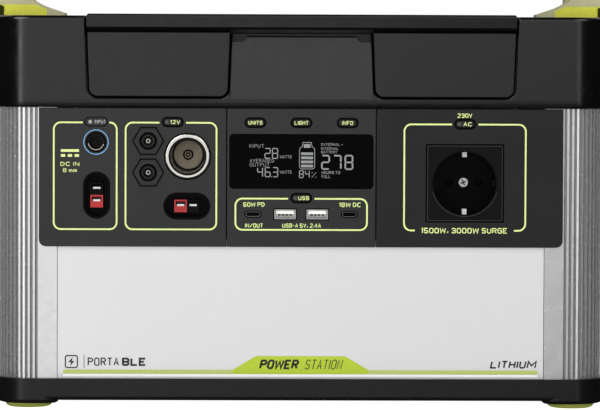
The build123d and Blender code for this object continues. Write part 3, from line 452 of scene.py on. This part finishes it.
def frame_line(left, right, bottom, top, radius, gap, low_gap=None):
    """Paths that make a rounded frame, open at its top and, if asked, at its bottom."""
    middle = (left + right) / 2
    low_left, low_right = low_gap or (middle, middle)
    right_half = (
        [(gap[1], top)]
        + arc(right - radius, top - radius, radius, 90, 0)
        + arc(right - radius, bottom + radius, radius, 0, -90)
        + [(low_right, bottom)]
    )
    left_half = (
        [(gap[0], top)]
        + arc(left + radius, top - radius, radius, 90, 180)
        + arc(left + radius, bottom + radius, radius, 180, 270)
        + [(low_left, bottom)]
    )
    if low_gap:
        return [right_half, left_half]
    return [right_half[:-1] + left_half[-2::-1]]


# Each letter's lines as points on a grid 6 high, a bar between two lines.
LETTERS = {
    "A": "00 26 40|12 32", "B": "00 06 36 45 44 33 03|33 42 41 30 00",
    "C": "45 36 16 05 01 10 30 41", "D": "00 06 26 44 42 20 00", "E": "46 06 00 40|03 33",
    "F": "46 06 00|03 33", "G": "45 36 16 05 01 10 30 41 43 23", "H": "00 06|40 46|03 43",
    "I": "20 26", "L": "06 00 40", "M": "00 06 32 66 60", "N": "00 06 40 46",
    "O": "10 01 05 16 36 45 41 30 10", "P": "00 06 36 45 44 33 03",
    "R": "00 06 36 45 44 33 03|23 40", "S": "45 36 16 05 04 13 33 42 41 30 10 01",
    "T": "06 46|26 20", "U": "06 01 10 30 41 46", "V": "06 20 46", "W": "06 10 35 50 66",
    "X": "00 46|06 40", "Y": "06 23 46|23 20", "m": "00 04 14 23 20|23 34 43 40",
    "0": "10 01 05 16 36 45 41 30 10", "1": "15 26 20", "2": "05 16 36 45 44 00 40",
    "3": "05 16 36 45 44 33 13|33 42 41 30 10 01", "4": "30 36 02 42",
    "5": "46 06 03 33 42 41 30 10 01", "6": "45 36 16 05 01 10 30 41 42 33 03",
    "8": "13 04 05 16 36 45 44 33 13 02 01 10 30 41 42 33", "+": "03 43|21 25", "-": "13 33",
    "/": "00 46", "%": "00 46|05 16|30 41", ",": "10 22", ".": "20 21",
}
LETTER_GAP = 2.1  # between letters, in steps of the grid
WORD_GAP = 2.2  # added between words


def lettering(text, left, right, bottom, top, lean):
    """The lines of a row of letters that fills the given width and height."""
    lines, reach = [], 0.0
    for character in text:
        if character == " ":
            reach += WORD_GAP
            continue
        drawn = [
            [(int(x), int(z)) for x, z in line.split()] for line in LETTERS[character].split("|")
        ]
        first = min(x for line in drawn for x, _ in line)
        last = max(x for line in drawn for x, _ in line)
        lines += [[(reach + x - first, z) for x, z in line] for line in drawn]
        reach += last - first + LETTER_GAP
    tall = (top - bottom) / 6
    wide = (right - left - 6 * lean * tall) / (reach - LETTER_GAP)
    return [[(left + x * wide + z * lean * tall, bottom + z * tall) for x, z in line] for line in lines]


# The lit strokes of each digit: a to f clockwise from the top, g across the middle.
DIGIT_STROKES = {
    "2": "abged", "3": "abgcd", "4": "fgbc", "6": "afgedc", "7": "abc", "8": "abcdefg",
}


def stroke(x, z, length, width, upright):
    """A display stroke with pointed ends, centred on x, z."""
    half, point = length / 2, width / 2
    outline = [
        (-half, 0), (-half + point, point), (half - point, point),
        (half, 0), (half - point, -point), (-half + point, -point),
    ]
    if upright:
        outline = [(-b, a) for a, b in outline]
    return [(x + a, z + b) for a, b in outline]


def digit(character, left, bottom, width, height, thick):
    """The strokes of one display digit."""
    x, z = left + width / 2, bottom + height / 2
    across = width - thick - 0.1
    down = height / 2 - thick / 2 - 0.1
    side = width / 2 - thick / 2
    rise = height / 2 - thick / 2
    places = {
        "a": (x, z + rise, across, False),
        "b": (x + side, z + rise / 2, down, True),
        "c": (x + side, z - rise / 2, down, True),
        "d": (x, z - rise, across, False),
        "e": (x - side, z - rise / 2, down, True),
        "f": (x - side, z + rise / 2, down, True),
        "g": (x, z, across, False),
    }
    strokes = []
    for name in DIGIT_STROKES[character]:
        stroke_x, stroke_z, length, upright = places[name]
        strokes.append(stroke(stroke_x, stroke_z, length, thick, upright))
    return strokes


def number(text, left, bottom, width, height, thick, pitch):
    """A row of display digits; a full stop takes no place of its own."""
    loops, x = [], left
    for character in text:
        if character == ".":
            gap = pitch - width
            loops.append(circle(x - gap / 2, bottom + thick / 2, thick / 2, 12))
        else:
            loops += digit(character, x, bottom, width, height, thick)
            x += pitch
    return loops


# ------------------------------------------------------------------------- pieces
def mesh_of(curve):
    """The filled mesh of a flat curve, which is then removed."""
    holder = bpy.data.objects.new("outline", curve)
    bpy.context.scene.collection.objects.link(holder)
    graph = bpy.context.evaluated_depsgraph_get()
    mesh = bpy.data.meshes.new_from_object(holder.evaluated_get(graph))
    bpy.data.objects.remove(holder)
    bpy.data.curves.remove(curve)
    return mesh


class Artwork:
    """Flat shapes and words of one finish on a face that looks forwards, as one piece."""

    def __init__(self, name, face, material, thick=0.12, sink=0.04):
        self.name = name
        self.face = face
        self.material = material
        self.thick = thick
        self.sink = sink
        self.mesh = bmesh.new()

    def take(self, mesh):
        self.mesh.from_mesh(mesh)
        bpy.data.meshes.remove(mesh)

    def shapes(self, loops):
        """Closed outlines in x and z; one inside another is a hole."""
        curve = bpy.data.curves.new("shapes", "CURVE")
        curve.dimensions = "2D"
        curve.fill_mode = "BOTH"
        curve.extrude = self.thick / 2
        for loop in loops:
            spline = curve.splines.new("POLY")
            spline.points.add(len(loop) - 1)
            for point, (x, z) in zip(spline.points, loop):
                point.co = (x, z, 0, 1)
            spline.use_cyclic_u = True
        self.take(mesh_of(curve))

    def lines(self, paths, width, closed=False):
        """Mitred lines of that width along paths in x and z."""
        for path in paths:
            points = [Vector(point) for point in path]
            count = len(points)
            rings = []
            for i, point in enumerate(points):
                before = points[i - 1] if closed or i else point
                after = points[(i + 1) % count] if closed or i + 1 < count else point
                sides = [
                    Vector((start.y - end.y, end.x - start.x)).normalized()
                    for start, end in ((before, point), (point, after))
                    if start != end
                ]
                side = sum(sides, Vector((0.0, 0.0))).normalized()
                reach = side * width / 2 / max(0.5, side.dot(sides[0]))
                high = self.thick / 2
                corners = ((reach, high), (-reach, high), (-reach, -high), (reach, -high))
                rings.append([self.mesh.verts.new((*(point + way), out)) for way, out in corners])
            for near, far in zip(rings, rings[1:] + rings[:1] if closed else rings[1:]):
                for i in range(4):
                    j = (i + 1) % 4
                    self.mesh.faces.new((near[i], near[j], far[j], far[i]))
            if not closed:
                self.mesh.faces.new(rings[0])
                self.mesh.faces.new(rings[-1][::-1])

    def words(self, text, left, right, bottom, top, width=0.5, lean=0.0):
        """A row of capitals that fills the given width and height."""
        half = width / 2
        paths = lettering(text, left + half, right - half, bottom + half, top - half, lean)
        self.lines(paths, width)

    def done(self, body="root", bevel=0.0):
        """Stands the shapes up on the face and hands the piece to its body."""
        for vertex in self.mesh.verts:
            x, z, out = vertex.co
            y = self.face + self.sink - self.thick / 2 - out
            vertex.co = Vector((x, y, z)) * MM
        bmesh.ops.remove_doubles(self.mesh, verts=self.mesh.verts, dist=1e-7)
        bmesh.ops.recalc_face_normals(self.mesh, faces=self.mesh.faces)
        mesh = bpy.data.meshes.new(self.name)
        self.mesh.to_mesh(mesh)
        self.mesh.free()
        mesh.materials.append(self.material)
        made = bpy.data.objects.new(self.name, mesh)
        bpy.context.scene.collection.objects.link(made)
        if bevel:
            rounding = made.modifiers.new("rounding", "BEVEL")
            rounding.width = bevel * MM
            rounding.segments = 3
            rounding.limit_method = "ANGLE"
            rounding.angle_limit = math.radians(40)
        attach(made, body)
        return made


# ------------------------------------------------------------------ panel artwork
DC = Area("dc_panel")
DISPLAY = Area("display_panel")
AC = Area("ac_panel")
FRAME_RADIUS = 4.4
FRAME_WIDTH = 1.05
FRAME_BOTTOM = DC.bottom + 11.0
FRAME_TOP = DC.top - 9.3
PILL_GAP = 8.4  # from a pill's centre to the end of the frame line beside it


def gap_at(x):
    return (x - PILL_GAP, x + PILL_GAP)


def frame_lines():
    """The printed frames round the input, 12 V, USB and mains zones."""
    jack = Area("input_jack")
    button = Area("dc_button")
    lines = Artwork("dc_panel_frames", DC.face, LIME_INK)
    edge = DC.left + 9.4
    divide = DC.left + 49.2
    lines.lines(
        frame_line(edge, divide, FRAME_BOTTOM, FRAME_TOP, FRAME_RADIUS, gap_at(jack.x))
        + frame_line(
            divide + 5.6, DC.right - 6.2, FRAME_BOTTOM, FRAME_TOP, FRAME_RADIUS, gap_at(button.x)
        ),
        FRAME_WIDTH,
    )
    lines.done()

    lines = Artwork("display_panel_frame", DISPLAY.face, LIME_INK)
    inset = 5.5
    lines.lines(
        frame_line(
            DISPLAY.left + inset, DISPLAY.right - inset, FRAME_BOTTOM - 0.1, FRAME_BOTTOM + 19.7,
            FRAME_RADIUS, gap_at(Area("usb_button").x),
        ),
        FRAME_WIDTH,
    )
    lines.done()

    lines = Artwork("ac_panel_frame", AC.face, LIME_INK)
    socket = Area("ac_socket")
    lines.lines(
        frame_line(
            AC.left + 17.6, AC.right - 23.9, FRAME_BOTTOM - 0.2, FRAME_TOP - 0.5,
            FRAME_RADIUS, gap_at(socket.x), (socket.x - 31.6, socket.x + 31.3),
        ),
        FRAME_WIDTH,
    )
    lines.done()


def direct_current_sign(x, z, width):
    """The sign for direct current: a bar over three dashes."""
    half, thick, dash = width / 2, width * 0.13, width * 0.24
    loops = [rounded(x - half, x + half, z + thick * 0.5, z + thick * 1.6, 0.2)]
    for i in (-1, 0, 1):
        centre = x + i * (half - dash / 2)
        loops.append(
            rounded(centre - dash / 2, centre + dash / 2, z - thick * 1.6, z - thick * 0.5, 0.2)
        )
    return loops


def legends():
    """The printed words on the three panels."""
    jack = Area("input_jack")
    print_ = Artwork("dc_panel_legends", DC.face, LIME_INK)
    sign_x = jack.x - 16.5
    print_.shapes(direct_current_sign(sign_x, jack.z - 7.0, 11.5))
    print_.words("DC IN", sign_x - 6.0, sign_x + 6.0, jack.z - 15.2, jack.z - 12.6, 0.45)
    print_.words("8 mm", sign_x - 4.4, sign_x + 4.4, jack.z - 19.2, jack.z - 16.6, 0.42)
    print_.done()

    usb_c = Area("usb_c_ports")
    high, low = usb_c.z + 4.7, usb_c.z - 8.5
    left_port, right_port = usb_c.left + 4.7, usb_c.right - 4.7
    print_ = Artwork("display_panel_legends", DISPLAY.face, LIME_INK)
    print_.words("60W PD", left_port - 6.3, left_port + 7.3, high, high + 2.9, 0.52)
    print_.words("18W DC", right_port - 6.5, right_port + 7.3, high, high + 2.9, 0.52)
    print_.words("IN/OUT", left_port - 5.1, left_port + 6.4, low, low + 2.7, 0.48)
    print_.words("USB-A 5V, 2.4A", usb_c.x - 12.0, usb_c.x + 12.6, low, low + 2.7, 0.48)
    print_.done()

    socket = Area("ac_socket")
    print_ = Artwork("ac_panel_legends", AC.face, LIME_INK)
    button = Area("ac_button")
    print_.words("230V", button.x - 4.9, button.x + 4.5, button.top + 0.7, button.top + 3.5, 0.5)
    print_.words(
        "1500W, 3000W SURGE", socket.x - 27.6, socket.x + 27.1,
        FRAME_BOTTOM - 2.0, FRAME_BOTTOM + 1.5, 0.62,
    )
    print_.done()


def input_indicator():
    """The pill beside the charging jack, with its light and its word."""
    x = Area("input_jack").x
    z = Area("dc_button").z + 0.1
    face = DC.face + 0.35
    rim = Artwork("input_indicator_rim", face, BEZEL_BLACK, 0.3)
    rim.shapes([stadium(x, z, 14.7, 6.3), stadium(x, z, 13.5, 5.1)])
    rim.done(bevel=0.08)
    light = Artwork("input_indicator_light", face, LED_LENS, 0.5)
    light.shapes([circle(x - 3.7, z - 0.1, 1.15)])
    light.done(bevel=0.2)
    word = Artwork("input_indicator_word", face, GREY_INK)
    word.words("INPUT", x - 0.9, x + 6.2, z - 1.2, z + 1.1, 0.36)
    word.done()


# ------------------------------------------------------------------------ buttons
# The word on each button: its left and right ends from the centre, and if it has a light
BUTTON_WORDS = {
    "units_button": ("UNITS", -4.45, 4.45, False),
    "light_button": ("LIGHT", -4.4, 4.4, False),
    "info_button": ("INFO", -3.4, 3.4, False),
    "dc_button": ("12V", -1.6, 4.6, True),
    "usb_button": ("USB", -1.9, 4.9, True),
    "ac_button": ("AC", -1.1, 4.2, True),
}
CAP_HEIGHT = 2.5
LIGHT_REACH = 3.7  # from a button's centre to its light


def buttons():
    """Each button's bezel on the panel, and its word and its light on the cap."""
    for node, (word, left, right, lit) in BUTTON_WORDS.items():
        cap = Area(node)
        bezel = Artwork(node + "_bezel", DISPLAY.face + 0.15, BEZEL_BLACK, 1.1, 1.1)
        bezel.shapes([stadium(cap.x, cap.z, 14.2, 6.7), stadium(cap.x, cap.z, 11.9, 4.6)])
        bezel.done(bevel=0.25)
        legend = Artwork(node + "_word", cap.face, LIME_INK)
        low = cap.z - CAP_HEIGHT / 2
        legend.words(word, cap.x + left, cap.x + right, low, low + CAP_HEIGHT, 0.44)
        legend.done(body=node)
        if lit:
            lens = Artwork(node + "_light", cap.face, LED_DIM, 0.3, 0.1)
            lens.shapes([circle(cap.x - LIGHT_REACH, cap.z, 1.1)])
            lens.done(body=node, bevel=0.1)


# ------------------------------------------------------------------------ display
def captions(print_):
    """The small fixed words of the display, from the window's middle."""
    window = Area("display_window")
    rows = (
        ("INPUT", -33.0, -23.7, 8.5, 10.9),
        ("WATTS", -13.6, -6.2, 1.9, 4.0),
        ("AVERAGED", -32.7, -17.3, -0.7, 1.6),
        ("OUTPUT", -32.8, -20.2, -3.3, -1.0),
        ("WATTS", -13.6, -6.2, -7.8, -5.7),
        ("EXTERNAL +", 12.5, 26.4, 10.0, 11.7),
        ("INTERNAL", 12.5, 23.6, 7.4, 9.1),
        ("BATTERY", 12.5, 22.7, 5.1, 6.9),
        ("HOURS TO", 12.8, 24.6, -7.9, -6.0),
        ("FULL", 12.8, 18.5, -10.5, -8.5),
        ("%", 6.4, 9.6, -10.4, -6.6),
    )
    for text, left, right, bottom, top in rows:
        print_.words(
            text, window.x + left, window.x + right, window.z + bottom, window.z + top, 0.32
        )


def battery_outline(x, z):
    """The closed path round a cell and its cap, with x, z at its bottom middle."""
    half, tall, cap, radius = 4.8, 13.8, 3.2, 1.6
    return (
        arc(x + half - radius, z + radius, radius, -90, 0, 4)
        + arc(x + half - radius, z + tall - radius, radius, 0, 90, 4)
        + [(x + cap, z + tall), (x + cap - 0.6, z + tall + 3.0)]
        + [(x - cap + 0.6, z + tall + 3.0), (x - cap, z + tall)]
        + arc(x - half + radius, z + tall - radius, radius, 90, 180, 4)
        + arc(x - half + radius, z + radius, radius, 180, 270, 4)
    )


def battery_bars(x, z):
    """The four bars of charge and the filled cap."""
    loops = [rounded(x - 2.1, x + 2.1, z + 13.4, z + 15.8, 0.3)]
    for i in range(4):
        low = z + 1.0 + 2.6 * i
        loops.append(rounded(x - 3.8, x + 3.8, low, low + 1.7, 0.3))
    return loops


def display():
    """The figures, words and battery sign behind the dark window."""
    window = Area("display_window")
    x, z = window.x, window.z
    lit = Artwork("display_figures", window.face, SEGMENT_INK, 0.08, 0.02)
    lit.shapes(
        number("28", x - 23.4, z + 1.7, 3.9, 6.8, 0.6, 4.75)
        + number("46.3", x - 28.0, z - 10.0, 3.7, 6.4, 0.6, 4.8)
        + number("84", x - 1.5, z - 10.5, 3.0, 5.0, 0.55, 3.8)
        + number("278", x + 12.5, z - 5.2, 5.6, 9.5, 1.0, 7.4)
        + battery_bars(x + 3.6, z - 4.7)
    )
    lit.lines([battery_outline(x + 3.6, z - 4.7)], 0.4, closed=True)
    lit.done()
    words = Artwork("display_words", window.face, FAINT_INK, 0.08, 0.02)
    captions(words)
    words.done()


# ------------------------------------------------------------------ housing and handles
def pocket_shade_sheets():
    """A near-black sheet at the back of the pockets that the lid's flaps hang in: painted shadow for
    the dark gaps round the flaps.
    """
    housing = Area("top_housing")
    back = housing.face + 5.5
    low, high, radius = 197.0, 238.5, 6.6
    for name, way in (("left", -1), ("right", 1)):
        outline = (
            [(43.8, high)]
            + arc(45.2 + radius, low + radius, radius, 180, 270)
            + arc(135.5 - radius, low + radius, radius, 270, 360)
            + [(136.9, high)]
        )
        shade_sheet = Artwork("flap_pocket_shade_" + name, back, POCKET_SHADE, 0.2, 0.02)
        shade_sheet.shapes([[(way * x, z) for x, z in outline]])
        shade_sheet.done()


def ankle_shade_pads():
    """A dark olive patch on the outer edge of each handle's front ankle: painted shade for the side
    turned from the light.
    """
    for name, way in (("left", -1), ("right", 1)):
        handle = Area(f"handle_{name}_liner")
        outer = cad_box[1].x / MM - 0.2
        shade_pad = Artwork("handle_ankle_shade_" + name, handle.face, OLIVE_SHADE, 0.3, 0.1)
        outline = [(outer - 3.3, 248.4), (outer - 3.3, 255.0), (outer, 256.5), (outer, 248.4)]
        shade_pad.shapes([[(way * x, z) for x, z in outline]])
        shade_pad.done()


# -------------------------------------------------------------------------- ports
def jack_ring():
    """The coloured ring that marks the charging input, and a painted glint on the lower part of the
    jack's rim.
    """
    jack = Area("input_jack")
    ring = Artwork("input_jack_ring", DC.face, BLUE_RING, 0.5, 0.2)
    ring.shapes(ring_at(jack.x, jack.z, 8.0, 7.45))
    ring.done(bevel=0.1)
    # Painted highlight: a steel arc for the light caught by the lower part of the jack's rim.
    glint = Artwork("input_jack_glint", jack.face, STEEL, 0.2, 0.1)
    glint.lines([arc(jack.x, jack.z, 4.9, 190, 345, 20)], 0.45)
    glint.done()


def hexagon(x, z, radius):
    return arc(x, z, radius, 0, 360, 6)[:-1]


def hex_ports():
    """A black line round each hexagonal outlet and black in its round hole, both painted shadow, and
    the rings of the hole with a painted glint on their lower part.
    """
    ports = Area("dc_ports")
    half = (ports.right - ports.left) / 2
    rise = half * math.sqrt(3) / 2
    for name, z in (("high", ports.top - rise), ("low", ports.bottom + rise)):
        # Painted shadow: a black line round the hexagon and black in the hole.
        edge = Artwork("dc_port_shadow_" + name, ports.face, BEZEL_BLACK, 0.16, 0.04)
        edge.shapes([hexagon(ports.x, z, half), hexagon(ports.x, z, half - 1.0)])
        edge.shapes(ring_at(ports.x, z, 5.9, 3.7))
        edge.done()
        ring = Artwork("dc_port_ring_" + name, ports.face, DARK_STEEL, 0.2, 0.1)
        ring.shapes(ring_at(ports.x, z, 3.7, 3.4) + ring_at(ports.x, z, 6.2, 5.9))
        # Painted highlight: a glint along the lower part of the hole.
        ring.lines([arc(ports.x, z, 4.4, 190, 345, 20)], 0.3)
        ring.done()
        pin = Artwork("dc_port_pin_" + name, ports.face + 1.2, STEEL, 0.4, 0.2)
        pin.shapes(ring_at(ports.x, z, 1.4, 0.85))
        pin.done(bevel=0.08)


def car_socket_rings():
    """The dark collar inside the flange, a painted shadow ring in the gap round the flange, the
    insulator round the base and its centre rings.
    """
    shell = Area("car_socket_shell")
    collar = Artwork("car_socket_collar", shell.face, SOCKET_BROWN, 0.4, 0.2)
    collar.shapes(ring_at(shell.x, shell.z, 12.1, 10.72))
    collar.done(bevel=0.1)
    # Painted shadow: a black ring in the gap round the socket's flange.
    gap = Artwork("car_socket_gap_shadow", DC.face, BEZEL_BLACK, 0.12, 0.04)
    gap.shapes(ring_at(shell.x, shell.z, 15.0, 14.35))
    gap.done()
    base = Area("car_socket_contact")
    rings = Artwork("car_socket_insulator", base.face - 0.8, SOCKET_BROWN, 0.4, 0.2)
    rings.shapes(ring_at(shell.x, shell.z, 10.65, 9.2))
    rings.done()
    rings = Artwork("car_socket_centre", base.face - 0.1, SOCKET_BROWN, 0.2, 0.1)
    rings.shapes(ring_at(shell.x, shell.z, 3.4, 2.3) + ring_at(shell.x, shell.z, 1.6, 0.7))
    rings.done()


def power_port_edges():
    """The black surrounds of the two oval ports, one upright and one lying down."""
    bezels = Area("power_port_bezels")
    short, long = 10.2, 16.5  # half the size of the flange behind each port
    edge = Artwork("power_port_edges", bezels.face, BEZEL_BLACK, 0.16, 0.04)
    for x, z, wide, tall in (
        (bezels.left + short, bezels.top - long, 17.2, 29.6),
        (bezels.right - long, bezels.bottom + short, 29.8, 16.6),
    ):
        edge.shapes([stadium(x, z, wide, tall), stadium(x, z, wide - 3.0, tall - 3.0)])
    edge.done()


def usb_c_rims():
    """The bright lip of each USB-C shell, and a painted shadow ring round its dark opening."""
    ports = Area("usb_c_ports")
    # Painted shadow: a black ring round each opening.
    gap = Artwork("usb_c_gap_shadows", DISPLAY.face, BEZEL_BLACK, 0.12, 0.04)
    rim = Artwork("usb_c_rims", ports.face, SHELL_RIM, 0.12, 0.04)
    for x in (ports.left + 4.7, ports.right - 4.7):
        gap.shapes([stadium(x, ports.z, 11.0, 4.6), stadium(x, ports.z, 9.4, 3.1)])
        rim.lines([stadium(x, ports.z, 8.9, 2.8)], 0.3, closed=True)
    gap.done()
    rim.done()


def mains_socket_edges():
    """The painted shadow in the gap round the mains socket, painted highlight lines on its edges and
    recess rim, and the painted shade of its screw's cross.
    """
    socket = Area("ac_socket")
    half = (socket.right - socket.left) / 2
    # Painted shadow: a black ring in the gap round the plate. Painted highlight: thin paler lines on
    # its edges and on the lower rim of its recess.
    gap = Artwork("ac_socket_gap_shadow", AC.face, BEZEL_BLACK, 0.12, 0.04)
    edge = Artwork("ac_socket_edges", socket.face, EDGE_LIGHT, 0.06, 0.03)
    for work, outer, inner in ((gap, half + 0.45, half - 0.1), (edge, half - 0.75, half - 1.0)):
        loops = [
            rounded(socket.x - size, socket.x + size, socket.z - size, socket.z + size, 0.6)
            for size in (outer, inner)
        ]
        work.shapes(loops)
    edge.lines([arc(socket.x, socket.z, 21.0, 195, 345, 40)], 0.25)
    gap.done()
    edge.done()
    screw = Area("ac_socket_screw")
    # Painted shade: a dark cross for the shadow in the screw's slots.
    cross = Artwork("ac_socket_screw_cross_shade", screw.face, DARK_INK, 0.1, 0.04)
    for turn in (25, 115):
        ends = [arc(screw.x, screw.z, 1.9, angle, angle, 1)[0] for angle in (turn, turn + 180)]
        cross.lines([ends], 0.75)
    cross.done()


def usb_tongues():
    """The white carriers in the USB-A ports, with four contacts on each, and a painted shadow frame
    round each port.
    """
    ports = Area("usb_a_ports")
    width = 11.4
    for name, x in (("left", ports.left + 6.8), ("right", ports.right - 6.8)):
        top = ports.top - 0.75
        carrier = Artwork("usb_a_tongue_" + name, ports.face + 0.9, WHITE_PLASTIC, 0.6, 0.5)
        carrier.shapes([rounded(x - width / 2, x + width / 2, top - 2.15, top, 0.25)])
        carrier.done(bevel=0.1)
        contacts = Artwork("usb_a_contacts_" + name, ports.face + 0.9, BEZEL_BLACK, 0.5, 0.5)
        low = top - 2.95
        for i in range(4):
            centre = x + (i - 1.5) * 2.4
            contacts.shapes([rounded(centre - 0.75, centre + 0.75, low - 0.3, low + 0.7, 0.1)])
        contacts.done()
        # Painted shadow: a black frame in the gap round each port.
        gap = Artwork("usb_a_gap_shadow_" + name, DISPLAY.face, BEZEL_BLACK, 0.12, 0.04)
        gap.shapes(
            [
                rounded(x - 7.5, x + 7.5, ports.bottom - 0.6, ports.top + 0.7, 0.5),
                rounded(x - 6.75, x + 6.75, ports.bottom + 0.05, ports.top - 0.05, 0.3),
            ]
        )
        gap.done()


# ------------------------------------------------------------------------- fascia
def fascia_artwork():
    """The printed stripe with its raised tab, and the words over it."""
    sheet = Area("front_fascia")
    low = sheet.bottom + 2.8
    high = low + 2.7
    reach = sheet.right - 3.6
    stripe = Artwork("fascia_stripe", sheet.face, ink("stripe_ink", (0.385, 0.45, 0.115)))
    tab_foot, tab_shoulder, tab_top = 43.2, 28.3, low + 11.5
    stripe.shapes(
        [rounded(-reach, -tab_foot, low, high, 0.6), rounded(tab_foot, reach, low, high, 0.6)]
    )
    stripe.done()
    # Painted light: a paler silver band just under the stripe, brightening the fascia's lower edge
    # where the tray shades it.
    lip = Artwork("fascia_light_band", sheet.face, ink("painted_light_silver", (0.85, 0.85, 0.84), 0.4))
    lip.shapes([rounded(-reach, reach, low - 1.75, low - 0.15, 0.2)])
    lip.done()
    tab = Artwork("fascia_tab", sheet.face, ink("tab_ink", (0.35, 0.45, 0.01)))
    tab.shapes(
        [[
            (-tab_foot, low), (-tab_foot, high), (-tab_shoulder, tab_top),
            (tab_shoulder, tab_top), (tab_foot, high), (tab_foot, low),
        ]]
    )
    tab.done()
    words = Artwork("fascia_tab_words", sheet.face - 0.08, DARK_INK)
    base = low + 3.1
    words.words("POWER", -26.4, -0.6, base, base + 6.2, 1.35, 0.25)
    words.words("STATION", 2.4, 27.2, base, base + 6.2, 0.55, 0.25)
    words.done()
    words = Artwork("fascia_words", sheet.face, DARK_INK)
    words.words("PORTA", -135.2, -115.3, high + 2.3, high + 7.6, 0.8)
    words.words("BLE", -113.4, -98.0, high + 2.3, high + 7.6, 1.25)
    words.words("LITHIUM", 120.5, 150.4, high + 1.2, high + 6.2, 1.0, 0.2)
    words.shapes(bolt_sign(-145.5, high + 5.0))
    words.done()
    bar = Artwork("fascia_bar", sheet.face, GREY_INK)
    bar.shapes([rounded(-137.9, -137.0, high + 0.8, high + 9.4, 0.1)])
    bar.done()


def bolt_sign(x, z):
    """A lightning bolt in a rounded square."""
    half = 4.2
    square = rounded(x - half, x + half, z - half, z + half, 1.6)
    hole = rounded(x - half + 0.8, x + half - 0.8, z - half + 0.8, z + half - 0.8, 0.9)
    bolt = [(0.9, 3.0), (-2.0, -0.4), (-0.2, -0.4), (-0.9, -3.0), (2.0, 0.4), (0.2, 0.4)]
    return [square, hole, [(x + a, z + b) for a, b in bolt]]


# --------------------------------------------------------------- floor, light, camera
def backdrop():
    """A plain white floor, which the object's gloss doesn't mirror."""
    mesh = bpy.data.meshes.new("floor")
    half = 6.0
    corners = [(-half, -half, 0), (half, -half, 0), (half, half, 0), (-half, half, 0)]
    mesh.from_pydata(corners, [], [(0, 1, 2, 3)])
    floor = bpy.data.objects.new("floor", mesh)
    bpy.context.scene.collection.objects.link(floor)
    paper = Finish("white_paper", (0.9, 0.9, 0.9), 0.9)
    paper.socket("Emission Color", (1.0, 1.0, 1.0, 1.0))
    paper.socket("Emission Strength", 1.0)
    mesh.materials.append(paper.material)
    floor.visible_glossy = False
    floor.visible_shadow = False


def world():
    """White to the camera, and a dim grey room to the object."""
    made = bpy.data.worlds.new("studio")
    made.use_nodes = True
    tree = made.node_tree
    room = tree.nodes["Background"]
    room.inputs["Color"].default_value = (1.0, 1.0, 1.0, 1.0)
    room.inputs["Strength"].default_value = 0.015
    white = tree.nodes.new("ShaderNodeBackground")
    white.inputs["Color"].default_value = (1.0, 1.0, 1.0, 1.0)
    white.inputs["Strength"].default_value = 1.0
    path = tree.nodes.new("ShaderNodeLightPath")
    mix = tree.nodes.new("ShaderNodeMixShader")
    tree.links.new(path.outputs["Is Camera Ray"], mix.inputs["Fac"])
    tree.links.new(room.outputs["Background"], mix.inputs[1])
    tree.links.new(white.outputs["Background"], mix.inputs[2])
    tree.links.new(mix.outputs["Shader"], tree.nodes["World Output"].inputs["Surface"])
    bpy.context.scene.world = made


def softbox(name, place, aim, width, height, brightness):
    """A rectangular light at a place, facing a point; brightness is what a mirror shows."""
    light = bpy.data.lights.new(name, "AREA")
    light.shape = "RECTANGLE"
    light.size = width
    light.size_y = height
    light.energy = brightness * width * height * math.pi
    holder = bpy.data.objects.new(name, light)
    holder.location = place
    holder.rotation_euler = (Vector(aim) - Vector(place)).to_track_quat("-Z", "Y").to_euler()
    bpy.context.scene.collection.objects.link(holder)


def lights():
    """Walls of light before and behind, a strip each side in front, and high boxes."""
    softbox("wall_left", (-0.62, -3.3, 0.75), (-0.62, 0.0, 0.75), 1.8, 2.6, 1.03)
    softbox("wall_right", (0.93, -3.3, 1.1), (0.93, 0.0, 1.1), 1.3, 2.0, 0.98)
    middle = (0.0, 0.0, 0.13)
    softbox("strip_left", (-1.33, -2.06, 0.7), (0.0, 0.0, 0.7), 0.45, 2.0, 3.8)
    softbox("strip_right", (1.05, -2.15, 0.7), (0.0, 0.0, 0.7), 0.25, 2.0, 1.8)
    softbox("over_camera", (0.0, -3.0, 1.9), middle, 2.6, 1.0, 0.6)
    softbox("high_left", (-1.25, -1.5, 2.0), middle, 1.3, 1.3, 5.2)
    softbox("high_right", (1.25, -1.5, 2.0), middle, 1.3, 1.3, 3.0)
    softbox("back_wall", (0.0, 3.3, 0.9), (0.0, 0.0, 0.9), 3.0, 2.0, 0.8)
    softbox("back_left", (-1.3, 1.7, 2.0), middle, 1.2, 1.2, 0.8)
    softbox("back_right", (1.3, 1.7, 2.0), middle, 1.2, 1.2, 0.8)


CAMERA_REACH = 2.33  # metres from the front of the object
CAMERA_ROLL = 0.23  # degrees


def camera():
    """A long lens a little above the object, as far off as the perspective shows."""
    low = cad_box[0]
    lens = bpy.data.cameras.new("camera")
    lens.sensor_width = 36.0
    lens.lens = 221.0
    holder = bpy.data.objects.new("camera", lens)
    holder.location = (-0.040, low.y - CAMERA_REACH, 0.235)
    target = Vector((-0.0008, low.y, 0.1298))
    turn = (target - holder.location).to_track_quat("-Z", "Y").to_matrix().to_4x4()
    roll = Matrix.Rotation(math.radians(CAMERA_ROLL), 4, "Z")
    holder.rotation_euler = (turn @ roll).to_euler()
    bpy.context.scene.collection.objects.link(holder)
    bpy.context.scene.camera = holder


dress_nodes()
frame_lines()
legends()
input_indicator()
buttons()
display()
pocket_shade_sheets()
ankle_shade_pads()
jack_ring()
hex_ports()
car_socket_rings()
power_port_edges()
usb_c_rims()
usb_tongues()
mains_socket_edges()
fascia_artwork()
backdrop()
world()
lights()
camera()

bpy.context.scene.view_settings.view_transform = "Standard"
